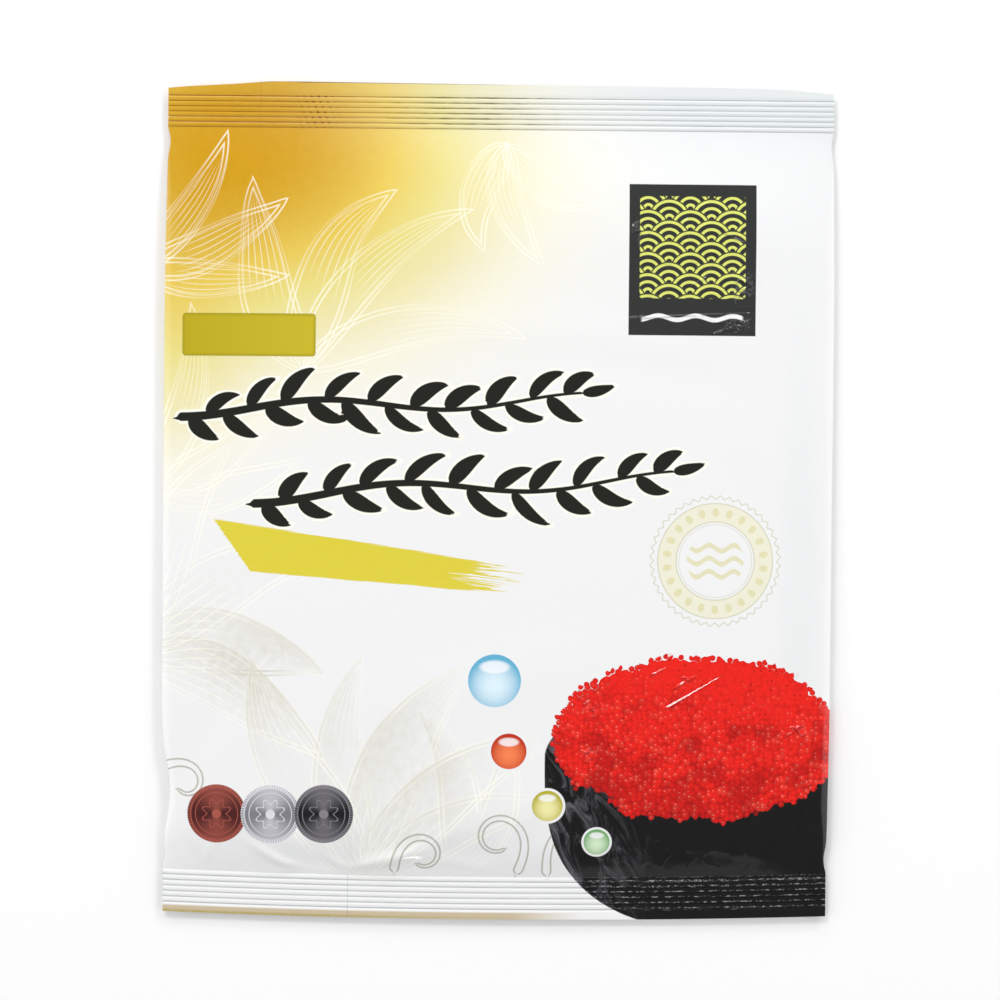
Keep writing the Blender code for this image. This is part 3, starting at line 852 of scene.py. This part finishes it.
def stroke_field(x, y, strokes):
    """For each place: how hard the brush presses on its nearest stroke, how far across the stroke it is, and
    the stroke's half width there. That drops away outside, so no ink is laid midway between two strokes."""
    pressed, across, half = np.zeros(x.shape), np.full(x.shape, NO_INK), np.full(x.shape, -NO_INK)
    nearest_edge = np.full(x.shape, NO_INK)
    for number, (middle, width) in enumerate(strokes):
        reach = width.max() + INK_REACH
        low, high = middle.min(axis=0) - reach, middle.max(axis=0) + reach
        here = np.flatnonzero((x > low[0]) & (x < high[0]) & (y > low[1]) & (y < high[1]))
        gap_x, gap_y = x[here, None] - middle[:, 0], y[here, None] - middle[:, 1]
        nearest = (gap_x**2 + gap_y**2).argmin(axis=1)
        toward = np.gradient(middle, axis=0)
        stride = np.linalg.norm(toward, axis=1)
        toward /= stride[:, None]
        pick = (np.arange(len(here)), nearest)
        run = gap_x[pick] * toward[nearest, 0] + gap_y[pick] * toward[nearest, 1]
        side = gap_y[pick] * toward[nearest, 0] - gap_x[pick] * toward[nearest, 1]
        before = np.where(nearest == 0, np.clip(-run, 0, None), 0.0)
        beyond = np.where(nearest == SPINE_STEPS - 1, np.clip(run, 0, None), 0.0)
        side = np.where(side < 0, -1, 1) * np.hypot(side, before + beyond)
        share = np.clip((nearest + run / stride[nearest]) / (SPINE_STEPS - 1), 0, 1)
        inked = np.interp(share, np.linspace(0, 1, SPINE_STEPS), width)
        edge = np.abs(side) - inked
        closer = edge < nearest_edge[here]
        changed = here[closer]
        nearest_edge[changed] = edge[closer]
        pressed[changed] = (0.5 + 0.5 * np.sin(share * BRUSH_LIFTS + number))[closer]
        across[changed] = side[closer]
        half[changed] = (inked - INK_FADE * np.clip(edge - INK_FADE_FROM, 0, None))[closer]
    return np.stack([pressed, across, half], axis=1)


def clearance(blade, others):
    """The least distance from the outer part of a blade to those of others."""
    root = SPINE_STEPS // 5
    gaps = [np.linalg.norm(blade[root:, None] - other[None, root:], axis=2).min() for other, _ in others]
    return min(gaps, default=math.inf)


def frond_fans(pick):
    """Strokes of the kelp fans in layers, each blade in the one where it is clearest of the others."""
    layers = [[] for _ in range(FROND_LAYERS)]
    for base, middle, spread, count, length, width, bend in BRUSH_FRONDS:
        for number in range(count):
            heading = middle + spread * (number / (count - 1) - 0.5) + pick.uniform(-4, 4)
            reach = length * pick.uniform(0.8, 1.1)
            blade = spine(base, heading, reach, bend * pick.uniform(0.6, 1.4), 1.2, pick.uniform(-6, 6))
            layer = max(layers, key=lambda others: clearance(blade, others))
            layer.append((blade, leaf_width(width * pick.uniform(0.75, 1.1))))
    return layers


def inked_sprays(pick):
    """The inked weed along two lines, in place of a title: its stems, and its leaves."""
    stems, leaves = [], []
    for base, heading, length, pairs in SPRAYS:
        middle = spine(base, heading, length, 0.0, sway=9.0)
        stems.append((middle, stem_width(1.5)))
        for number in range(2 * pairs):
            share = (number + 0.5) / (2 * pairs)
            foot = int(share * (SPINE_STEPS - 1))
            toward = middle[foot + 1] - middle[foot]
            stem_heading = math.degrees(math.atan2(toward[1], toward[0]))
            side = 1 if number % 2 else -1
            turn = side * pick.uniform(52, 66)
            reach = pick.uniform(15.5, 18.5) * (0.78 + 0.22 * math.sin(math.pi * share))
            leaf = spine(middle[foot], stem_heading + turn, reach, -side * pick.uniform(40, 70), 1.3)
            leaves.append((leaf, leaf_width(pick.uniform(2.2, 2.8))))
        tip = math.degrees(math.atan2(*(middle[-1] - middle[-2])[::-1]))
        leaves.append((spine(middle[-1], tip, 12.0, 20.0), leaf_width(1.9)))
    return stems, leaves


def nearest_badge(x, y):
    """Which drop each place is on, as a share of all badges, with any coin as the first, or -1 on none."""
    which = np.full(x.shape, -1.0)
    for number, (middle_x, middle_y, radius) in enumerate(BADGES):
        on_it = np.hypot(x - middle_x, y - middle_y) < BADGE_REACH * radius
        which[on_it] = ((number if number >= COINS else 0) + 0.5) / len(BADGES)
    return which


def patched(x, y, rows):
    """How much all of these soft patches come to at each place, at most 1."""
    total = np.zeros(x.shape)
    for amount, middle_x, middle_y, reach_x, reach_y, steep in rows:
        off = ((x - middle_x) / reach_x) ** 2 + ((y - middle_y) / reach_y) ** 2
        total += amount * np.exp(-(off**steep))
    return np.clip(total, 0, 1)


def lay_on(name, values, unprinted=(0.0, 0.0, 0.0)):
    """Stores three numbers for each point of the pouch's outside, and plain ones over its lining."""
    held = np.tile(np.array(unprinted, dtype=np.float32), (len(pouch.data.vertices), 1))
    held[: len(values)] = values
    pouch.data.attributes.new(name, "FLOAT_VECTOR", "POINT").data.foreach_set("vector", held.ravel())


flat_x = loop_x.copy()
flat_x[:, :first_face] = 2 * left - loop_x[:, :first_face]
flat_x[:, past_face:] = 2 * right - loop_x[:, past_face:]
flat_x, flat_y = flat_x.ravel(), loop_y.ravel()
spaces = rib_count(np.broadcast_to(y, loop_x.shape)).ravel()
from_cut = np.broadcast_to(PACK_LENGTH / 2 - np.abs(y), loop_x.shape).ravel()
lay_on("web", np.stack([flat_x, flat_y, nearest_badge(flat_x, flat_y)], axis=1), OFF_PRINT)
lay_on("seal", np.stack([spaces, from_cut, patched(flat_x, flat_y, CRINKLED_PATCHES)], axis=1), OFF_SEAL)
# The gold and beige are print; the grey is painted shade
tones = [patched(flat_x, flat_y, rows) for rows in (GOLD_PATCHES, BEIGE_PATCHES, PAINTED_SHADE_PATCHES)]
lay_on("tone_and_shade", np.stack(tones, axis=1))
for number, layer in enumerate(frond_fans(random.Random(21))):
    lay_on(f"frond_{number}", stroke_field(flat_x, flat_y, layer), NO_STROKE)
stems, leaves = inked_sprays(random.Random(9))
stem, leaf = stroke_field(flat_x, flat_y, stems), stroke_field(flat_x, flat_y, leaves)
from_leaf = np.abs(leaf[:, 1]) - leaf[:, 2]
lay_on("title", np.stack([stem[:, 1], stem[:, 2], from_leaf], axis=1), (NO_INK, -NO_INK, NO_INK))
curls = [(spine(*curl, CURL_GATHER), stem_width(CURL_WIDTH)) for curl in CURLS]
lay_on("curl", stroke_field(flat_x, flat_y, curls), NO_STROKE)
glints = [(spine(*crease, 0.0), stem_width(GLINT_WIDTH)) for crease in GLINT_CREASES]
lay_on("glint", stroke_field(flat_x, flat_y, glints), NO_STROKE)


# The print's colours of ink, with the painted shade and painted highlight laid among them, in millimetres on
# the film: each is laid over the one before.
PEARL = (0.83, 0.83, 0.83)
GOLD_WASH = (
    (0.0, PEARL),
    (0.10, (0.853, 0.830, 0.695)),
    (0.28, (0.800, 0.738, 0.434)),
    (0.50, (0.753, 0.668, 0.230)),
    (0.72, (0.745, 0.540, 0.090)),
    (1.0, (0.565, 0.295, 0.004)),
)
CREAM = (0.94, 0.93, 0.82)
WARM_GREY = (0.66, 0.645, 0.56)
TAUPE = (0.30, 0.285, 0.21)
# Painted shade, laid over the film's edges and top right as a soft grey
PAINTED_SHADE_GREY = (0.72, 0.745, 0.745)
OLIVE = (0.565, 0.44, 0.012)
OLIVE_LIGHT = (0.70, 0.57, 0.030)
OLIVE_EDGE = (0.33, 0.27, 0.01)
BANNER_LIGHT = (0.70, 0.62, 0.07)
CHARCOAL = (0.013, 0.013, 0.009)
PANEL_BLACK = (0.030, 0.032, 0.030)
SPRING_GREEN = (0.68, 0.72, 0.16)
STAMP_CREAM = (0.80, 0.78, 0.58)
STAMP_GOLD = (0.70, 0.66, 0.36)
STAMP_LINE = (0.50, 0.47, 0.28)
LAVER_BLACK = (0.003, 0.003, 0.003)
LAVER_SHEEN = (0.12, 0.12, 0.135)
ROE_DEEP = (0.36, 0.003, 0.003)
ROE_RED = (0.84, 0.016, 0.009)
ROE_LIGHT = (0.90, 0.12, 0.07)
ROE_GLINT = (0.95, 0.50, 0.42)
BADGE_DARK = (
    (0.07, 0.012, 0.012), (0.20, 0.20, 0.22), (0.008, 0.008, 0.010),
    (0.12, 0.42, 0.62), (0.50, 0.03, 0.01), (0.45, 0.40, 0.03), (0.16, 0.38, 0.14),
)
BADGE_LIGHT = (
    (0.42, 0.10, 0.07), (0.74, 0.74, 0.78), (0.25, 0.24, 0.26),
    (0.72, 0.86, 0.93), (0.90, 0.22, 0.08), (0.88, 0.84, 0.40), (0.66, 0.82, 0.58),
)
BADGE_GLEAM = (0.92, 0.93, 0.93)
STRIP_CREAM = (0.57, 0.475, 0.325)
STRIP_GOLD = (0.44, 0.35, 0.12)
# Painted shade in the seals' grooves and creases, and a painted highlight along their ridges
SEAL_SHADE_GREY = (0.58, 0.62, 0.62)
SEAL_SHADE_DARK = (0.30, 0.27, 0.20)
RIDGE_GLINT_GREY = (0.42, 0.43, 0.43)
# Rounded boxes of ink: middle X and Y, half width and half height, and radius of the corners
LABEL = (-84.3, 55.8, 22.5, 7.2, 1.2)
PANEL = (64.75, 82.3, 21.45, 25.5, 0.2)
PATTERN = (64.75, 86.5, 17.8, 17.2, 1.0)
UNDERLINE_Y = 62.8
UNDERLINE_HALF = 17.0
BANNER_TOP_LEFT = (-95.8, -6.3)
BANNER_TOP_FALL = 0.15
BANNER_LEAN = 0.72
BANNER_FOOT_LEFT = (-83.4, -24.0)
BANNER_FOOT_FALL = 0.075
STAMP_MIDDLE = (73.4, -19.0)
STAMP_TEETH = 44
STAMP_NOTCH = 22.1
STAMP_RINGS = ((19.4, 0.18), (13.2, 0.18), (12.3, 0.10))
STAMP_BAND = (16.3, 3.1)
STAMP_MARKS = 22
MARK_RING = 16.4
LAP_PITCH = 4.4
LAPS_RADIUS = 9.6
ROLL_MIDDLE = (67.5, -86.0)
ROLL_HALF_WIDTH = 51.0
ROLL_TOP = 22.0
ROLL_WALL = 58.0
ROLL_END = 118.0
ROE_MIDDLE = (68.0, -79.0)
ROE_HALF = (49.0, 28.0)
ROE_PITCH = 1.65
WEB_SPAN = 512.0
LINE = 0.25
VEINS = 3.5
VEIN_LINE = 0.22
SCALE_RADIUS = 7.1
STRIP_WIDTH = 2.3
GILT_WIDTH = 0.75
# Where the seals' painted shade is deeper: a band of the top seal, slanted dashes, and a crease down each
# seal
DEEPER_SHADE_MIDDLE = -10.0
DEEPER_SHADE_REACH = 36.0
SLANTED_MIDDLE = -62.0
SLANTED_REACH = 9.0
SHADED_CREASE_TOP = -84.0
SHADED_CREASE_BOTTOM = -49.8
HEAP_SKIRT = 1.16
RELIEF = 0.35
CREASE_SLOPE = 0.58
CRUMPLE_HEIGHT = 2.4

px, py, which = film.attribute("web")
rib_spaces, from_cut_edge, crinkled = film.attribute("seal")
gold, beige, painted_shade = film.attribute("tone_and_shade")
grain = film.noise((px, py), 0.35, rough=0.6)


def far(x, y):
    """How far apart two places are, from how far they are in X and in Y."""
    return (x * x + y * y) ** 0.5


def edge_of_box(middle_x, middle_y, half_x, half_y, corner):
    """Distance outside a rounded box on the print, in mm."""
    out_x = (abs(px - middle_x) - (half_x - corner)).most(0.0)
    out_y = (abs(py - middle_y) - (half_y - corner)).most(0.0)
    return far(out_x, out_y) - corner


def polar(middle_x, middle_y):
    dx, dy = px - middle_x, py - middle_y
    return dx, dy, far(dx, dy)


wash_and_shade = film.node("ShaderNodeValToRGB", {0: gold + (grain - 0.5) * 0.05}, stops=GOLD_WASH)
# Painted shade: soft grey over the right edge, above the bottom seal and at the top right
wash_and_shade = film.mix(painted_shade, wash_and_shade, PAINTED_SHADE_GREY)
inks_and_shade = wash_and_shade
for number in range(FROND_LAYERS):
    brushed, across_leaf, half = film.attribute(f"frond_{number}")
    edge = abs(across_leaf) - half
    inside = edge.within(0.0)
    lean = across_leaf / half.most(0.5)
    outlines = abs(edge + 0.75).near(0.75, LINE) * (brushed * 0.8 + 0.2)
    veins = abs((lean * (math.pi * VEINS)).math("SINE")).within(VEIN_LINE, 0.1) * inside
    combed = veins * (1.5 - brushed * 2.0 - lean * 0.6).clamped()
    inks_and_shade = film.mix(inside * beige * (lean * 0.45 + grain).clamped() * 0.9, inks_and_shade, WARM_GREY)
    line_colour = film.mix((beige * 1.3 - 0.7) * brushed, CREAM, TAUPE)
    inks_and_shade = film.mix(outlines.most(combed * 0.75) * 0.72, inks_and_shade, line_colour)
_, across_curl, half = film.attribute("curl")
inks_and_shade = film.mix(abs(across_curl).near(half, 0.28) * 0.7, inks_and_shade, TAUPE)

label = edge_of_box(*LABEL)
label_ink = film.mix(((px + 107.0) / 45.0).clamped(), OLIVE, OLIVE_LIGHT)
label_ink = film.mix(label.math("MULTIPLY_ADD", 0.4, 0.9, clamp=True), label_ink, OLIVE_EDGE)
inks_and_shade = film.mix(label.within(0.0), inks_and_shade, label_ink)

bristles = film.noise((px * 0.045, py * 1.5 + px * 0.17), rough=0.7)
dx, dy = px - BANNER_TOP_LEFT[0], py - BANNER_TOP_LEFT[1]
foot_dx, foot_dy = px - BANNER_FOOT_LEFT[0], py - BANNER_FOOT_LEFT[1]
above = dy + dx * BANNER_TOP_FALL
below = foot_dx * -BANNER_FOOT_FALL - foot_dy
banner = above.most(below).most(dy * -BANNER_LEAN - dx) + (bristles - 0.5) * 1.6
dry = (px + 8.0) / 38.0 + 0.62
banner_ink = banner.within(0.0, 0.2) * (dry - bristles * 1.5).within(0.0, 0.05)
banner_colour = film.mix(bristles, OLIVE_LIGHT, BANNER_LIGHT)
inks_and_shade = film.mix(banner_ink, inks_and_shade, banner_colour)

across_stem, half, from_leaf = film.attribute("title")
title = (abs(across_stem) - half).least(from_leaf)
inks_and_shade = film.mix(title.within(0.9, 0.2), inks_and_shade, CREAM)
inks_and_shade = film.mix(title.within(0.0), inks_and_shade, CHARCOAL)

dx, dy, radius = polar(*STAMP_MIDDLE)
angle = dy.math("ARCTAN2", dx)
teeth = (angle * (STAMP_TEETH / (2 * math.pi))).from_half() * 2.6
stamp_line = (radius + teeth).near(STAMP_NOTCH, 0.22)
for ring in STAMP_RINGS:
    stamp_line = stamp_line.most(radius.near(*ring))
mark = (angle * (STAMP_MARKS / (2 * math.pi))).from_half()
off_ring = radius - MARK_RING
oval = mark * mark / 0.055 + off_ring * off_ring / 2.2
swell = dy + (dx * 0.75).math("SINE")
lapping = (swell / LAP_PITCH + 0.5).from_half() * LAP_PITCH
lapping = lapping.within(0.85) * radius.within(LAPS_RADIUS) * abs(dy).within(7.0)
stamp_ink = oval.within(1.0, 0.15).most(lapping)
inks_and_shade = film.mix(radius.near(*STAMP_BAND) * 0.75, inks_and_shade, STAMP_CREAM)
inks_and_shade = film.mix(stamp_ink * 0.75, inks_and_shade, STAMP_GOLD)
inks_and_shade = film.mix(stamp_line * 0.6, inks_and_shade, STAMP_LINE)

dx, dy, _ = polar(*ROLL_MIDDLE)
top_share = far(dx / ROLL_HALF_WIDTH, dy / ROLL_TOP)
left_of, under = (0.0 - dx).most(0.0) / ROLL_HALF_WIDTH, (0.0 - dy).most(0.0) / ROLL_WALL
wall_share = (left_of * left_of + under * under * under * (1 - left_of.within(0.05, 0.02))) ** 0.5
before_end = px.within(ROLL_END, 0.1)
roll = top_share.within(1.0, 0.004).most(wall_share.within(1.0, 0.003) * dy.within(0.0)) * before_end
leaning = (px * 0.16 + py * 0.06, py * 0.07)
crumpled = film.noise(leaning, detail=5.0, rough=0.72, distortion=0.8)
sheen = crumpled.math("MULTIPLY_ADD", 6.0, -2.9, clamp=True) * (left_of * 1.5 - 0.35).clamped()
picture_and_painted_light = film.mix(roll, wash_and_shade, film.mix(sheen.most(crumpled * 0.04), LAVER_BLACK, LAVER_SHEEN))


def in_heap(x, y):
    """A place measured from the middle of the heap of roe, in shares of its half width and half height."""
    return (x - ROE_MIDDLE[0]) / ROE_HALF[0], (y - ROE_MIDDLE[1]) / ROE_HALF[1]


roe_x, roe_y = px / ROE_PITCH, py / ROE_PITCH
sockets = {"Vector": film.vector(roe_x, roe_y), "Scale": 1.0, "Randomness": 1.0}
grains = film.node("ShaderNodeTexVoronoi", sockets, voronoi_dimensions="2D")
grain_x, grain_y, _ = film.parts(grains.also("Position"))
heap_x, heap_y = in_heap(grain_x * ROE_PITCH, grain_y * ROE_PITCH)
lumps = film.noise((grain_x, grain_y), 0.16, detail=2.0)
heap = far(heap_x, heap_y) + (lumps - 0.5) * 0.22
glint = far(roe_x - grain_x + 0.17, roe_y - grain_y - 0.17)
hue, dark_hue, _ = film.parts(grains.also("Color"))
deeper = (0.62 - heap_y * 0.75 - heap_x * 0.12 + (lumps - 0.5) * 1.7).clamped()
roe = film.mix((grains * 1.3 - 0.25).clamped() * (0.25 + deeper * 0.75), ROE_RED, ROE_DEEP)
roe = film.mix((hue * 1.3 - 0.85).clamped() * deeper * 0.8, roe, ROE_LIGHT)
roe = film.mix(glint.within(0.24, 0.14) * (dark_hue * 5.0 - 3.7).clamped() * 0.8, roe, ROE_DEEP)
roe = film.mix(glint.within(0.10, 0.06) * (hue * 3.0 - 1.4).clamped() * deeper, roe, ROE_GLINT)
hollow = (deeper * 1.5 + lumps * 1.6 - 1.75).clamped()
roe = film.mix(hollow * 0.75, roe, ROE_DEEP)
rim_dark = heap.math("MULTIPLY_ADD", 9.0, -8.3, clamp=True) * (grains * 1.5).clamped()
roe = film.mix(rim_dark * 0.8, roe, ROE_DEEP)
roe_place = before_end * heap.within(1.0, 0.001) * grains.within(0.60, 0.05).most(heap.within(0.975, 0.01))
picture_and_painted_light = film.mix(roe_place, picture_and_painted_light, roe)

panel = edge_of_box(*PANEL)
scale_row = (py / (SCALE_RADIUS / 2)).math("FLOOR")


def scale_share(step):
    """Distance from the middle of the overlapping scale in this row, in radii."""
    row = scale_row + step
    off = (px / (2 * SCALE_RADIUS) + row * 0.5).math("FRACT") - 0.5
    off_x, off_y = off * 2.0, py / SCALE_RADIUS - row * 0.5
    return far(off_x, off_y)


front, level, behind = scale_share(-1.0), scale_share(0.0), scale_share(1.0)
on_level = level.within(1.0, 0.002)
on_front = front.within(1.0, 0.002)
share = behind + (level - behind) * on_level
share = share + (front - share) * on_front
arcs = (share * 3.0).math("FRACT").near(0.62, 0.2, 0.03)
scales = arcs * edge_of_box(*PATTERN).within(0.0)
underline = (py - UNDERLINE_Y).near((px * 0.5).math("SINE") * 0.7, 0.75)
underline = underline * px.near(PANEL[0], UNDERLINE_HALF, 0.4)
panel_ink = film.mix(scales, PANEL_BLACK, SPRING_GREEN)
panel_ink = film.mix(underline, panel_ink, PEARL)
picture_and_painted_light = film.mix(panel.within(0.0), picture_and_painted_light, panel_ink)


def by_badge(rows):
    """A colour or a place for the coin or drop that this is on."""
    stops = tuple((number / len(rows), row) for number, row in enumerate(rows))
    return film.node("ShaderNodeValToRGB", {0: which}, stops=stops, steps=True)


for number in range(1, COINS):
    coin_x, coin_y, coin_radius = BADGES[number]
    _, _, from_coin = polar(coin_x, coin_y)
    on_top = from_coin.within(coin_radius, 0.03)
    which = which + on_top * ((number + 0.5) / len(BADGES) - which)
badge_places = [(0.5 + x / WEB_SPAN, 0.5 + y / WEB_SPAN, radius / WEB_SPAN) for x, y, radius in BADGES]
middle_x, middle_y, badge_radius = film.parts(by_badge(badge_places))
dx = (px / WEB_SPAN + 0.5 - middle_x) / badge_radius
dy = (py / WEB_SPAN + 0.5 - middle_y) / badge_radius
radius = far(dx, dy)
angle = dy.math("ARCTAN2", dx)
is_coin = which.within(COINS / len(BADGES), 0.01)
turned = (angle * 2.0 - 1.6).math("SINE").math("MULTIPLY_ADD", 0.5, 0.5) * 0.55
reeding = (angle * 70.0).math("SINE").math("MULTIPLY_ADD", 0.4, 0.4) * radius.near(0.95, 0.05, 0.01)
rings = radius.near(0.88, 0.018, 0.008).most(radius.near(0.72, 0.014, 0.008))
petals = (angle * 8.0).math("COSINE") * 0.09
rosette = (radius + petals).near(0.42, 0.022, 0.01).most(radius.within(0.16, 0.012))
coin_light = (turned + reeding).most(rings.most(rosette) * 0.9)
bubble = (radius * radius * -0.9 + 0.95 - dy * 0.35).clamped()
gleam_x, gleam_y = dx / 0.55, (dy - 0.52) / 0.24
gleam = (gleam_x * gleam_x + gleam_y * gleam_y).within(1.0, 0.35) * 0.75
badge_light = bubble + (coin_light - bubble) * is_coin
badge_ink = film.mix(badge_light, by_badge(BADGE_DARK), by_badge(BADGE_LIGHT))
badge_ink = film.mix(gleam * (1 - is_coin), badge_ink, BADGE_GLEAM)
badge_place = radius.within(1.0, 0.015)
badge_ink = film.mix(badge_place, PEARL, badge_ink)
badge_place = badge_place.most(radius.within(1.17, 0.02) * (1 - is_coin))

at_bottom = py.within(0.0)
strip = from_cut_edge.within(STRIP_WIDTH, 0.3) * at_bottom * px.within(18.0, 12.0)
inks_and_shade = film.mix(strip, inks_and_shade, STRIP_CREAM)
gilt = from_cut_edge.within(GILT_WIDTH, 0.3) * at_bottom * px.within(-22.0, 34.0)
inks_and_shade = film.mix(gilt * (grain * 2.0).clamped(), inks_and_shade, STRIP_GOLD)

# Painted shade: the seals' grooves are darkened in the colour, more in a band of the top seal and in slanted
# dashes
nearest_groove = (rib_spaces + 0.5).from_half() * 1.8
in_seal = (0.0 - rib_spaces).within(-0.02, 0.02)
groove_shade_noise = film.noise((px * 0.12, rib_spaces * 1.7), rough=0.75)
deeper_shade_band = (1 - ((px - DEEPER_SHADE_MIDDLE) / DEEPER_SHADE_REACH) ** 2.0).clamped() * (1 - at_bottom)
slanted = (px * 2.6 + rib_spaces * 1.9).math("SINE").clamped()
slanted = slanted * (1 - abs(px - SLANTED_MIDDLE) / SLANTED_REACH).clamped() * (1 - at_bottom)
pressed = (nearest_groove - deeper_shade_band * groove_shade_noise * 0.14 - slanted * 0.14).within(0.15, 0.13)
pressed = pressed * in_seal * rib_spaces.within(RIB_SPACES + 0.2, 0.1)
groove_shade_share = pressed * (0.35 + groove_shade_noise * 0.9 + at_bottom * 0.15).clamped()


def with_groove_shade(ink):
    """The ink with painted shade along the grooves pressed into the seals."""
    ink = film.mix(groove_shade_share, ink, ink, "MULTIPLY")
    grey_share = (0.7 + (deeper_shade_band + at_bottom) * 0.3 + slanted).clamped()
    ink = film.mix(groove_shade_share * grey_share, ink, SEAL_SHADE_GREY, "MULTIPLY")
    dark_share = (deeper_shade_band * groove_shade_noise * 1.6 - 0.2 + slanted).clamped()
    return film.mix(groove_shade_share * dark_share, ink, SEAL_SHADE_DARK, "MULTIPLY")


# Painted shade: a dark line down the bottom seal, and a fainter one down the top seal, where each is creased
painted_top_crease_shade = (px - SHADED_CREASE_TOP).near(py * 0.02, 0.12, 0.2) * (1 - at_bottom) * 0.6
painted_crease_shade = px.near(SHADED_CREASE_BOTTOM, 0.14, 0.12) * at_bottom + painted_top_crease_shade
film.set(Base_Color=film.mix(painted_crease_shade * in_seal * groove_shade_noise, with_groove_shade(inks_and_shade), SEAL_SHADE_GREY, "MULTIPLY"))

# The picture and the panel are a look of their own, with the creases and crumples that catch the lamps
# Painted highlight: broken light-grey glints along one side of each seal ridge, over the roll's black ink
ridge_line = (rib_spaces + 0.8).from_half().within(0.09, 0.06) * in_seal
broken = film.noise((px * 0.45, rib_spaces * 2.3), detail=2.0, rough=0.8)
painted_ridge_glints = ridge_line * broken.math("MULTIPLY_ADD", 7.0, -3.5, clamp=True)
picture_and_painted_light = film.mix(painted_ridge_glints * 0.8, with_groove_shade(picture_and_painted_light), RIDGE_GLINT_GREY)
ripples = film.noise((px * 0.4, rib_spaces * 2.2), detail=1.0) * in_seal


def ridges(scale, steep):
    """1 along wandering lines, falling to 0 on both sides of them."""
    wandering = film.noise((px, py), scale, detail=1.0)
    ridge = (1 - abs(wandering * 2.0 - 1.0) * steep).most(0.0)
    return ridge * ridge


crumples = ridges(0.24, 2.2) * (crinkled * 2.6 - 1.6).clamped() * CRUMPLE_HEIGHT
_, across_glint, half = film.attribute("glint")
creases = (half - abs(across_glint)).most(0.0) * (CREASE_SLOPE / RELIEF)
height = ridges(0.12, 5.0) * crinkled * 1.1 + crumples + creases + ripples * 0.45
red_x, red_y = in_heap(px, py)
picture_place = roll.most((red_x * red_x + red_y * red_y).within(HEAP_SKIRT, 0.02)).most(panel.within(0.0))
film.lay_over(picture_place)
film.set(Base_Color=picture_and_painted_light, Normal=film.bump(height, RELIEF))
film.lay_over(badge_place)
film.set(Base_Color=badge_ink)


# The ground the packet lies on, four soft lamps round it, four small ones that the film's creases mirror,
# and the camera, which looks straight down on the face.
FLOOR_SIZE = 4000.0
FLOOR_DROP = 0.15
FLOOR_WHITE = (0.92, 0.92, 0.92)
# Square lamps: name, place and side in metres, and power in watts
LAMPS = (
    ("lamp_top", (-0.40, 1.80, 0.98), 1.5, 18.5),
    ("lamp_foot", (0.30, -1.90, 0.80), 1.5, 4.0),
    ("lamp_left", (-1.65, -0.10, 0.80), 1.6, 14.5),
    ("lamp_right", (1.65, -0.20, 0.80), 1.6, 13.5),
    ("spark_foot", (0.30, -1.90, 0.75), 0.2, 2.5),
    ("spark_left", (-0.55, 1.05, 0.95), 0.24, 5.0),
    ("spark_right", (0.60, 1.36, 0.60), 0.24, 5.0),
    ("spark_far", (1.00, 0.90, 0.90), 0.18, 2.4),
)
WORLD_GREY = (0.35, 0.35, 0.36)
# The camera's place in millimetres and its turn in degrees
CAMERA_PLACE = (-4.33, 12.02, 801.28)
CAMERA_TURN = (-0.802, -0.353, 0.535)
LENS = 85.0

half = FLOOR_SIZE / 2
floor_x, floor_y = np.meshgrid([-half, half], [-half, half])
backdrop = Finish("pale_floor", Roughness=0.9, Base_Color=FLOOR_WHITE)
floor_points = grid_points(floor_x, floor_y, -FLOOR_DROP).reshape(-1, 3)
floor = add_piece("floor", floor_points, grid_faces(2, 2), backdrop)

for name, location, size, power in LAMPS:
    lamp = bpy.data.lights.new(name, "AREA")
    lamp.shape = "SQUARE"
    lamp.size = size
    lamp.energy = power
    stand = bpy.data.objects.new(name, lamp)
    stand.location = location
    stand.rotation_euler = (-Vector(location)).to_track_quat("-Z", "Y").to_euler()
    stand.visible_camera = False
    bpy.context.scene.collection.objects.link(stand)

world = bpy.data.worlds.new("studio")
world.use_nodes = True
world.node_tree.nodes["Background"].inputs["Color"].default_value = (*WORLD_GREY, 1.0)
bpy.context.scene.world = world

camera = bpy.data.objects.new("camera", bpy.data.cameras.new("camera"))
camera.data.lens = LENS
camera.location = [distance * MM for distance in CAMERA_PLACE]
camera.rotation_euler = [math.radians(turn) for turn in CAMERA_TURN]
bpy.context.scene.collection.objects.link(camera)
bpy.context.scene.camera = camera
bpy.context.scene.view_settings.view_transform = "Standard"
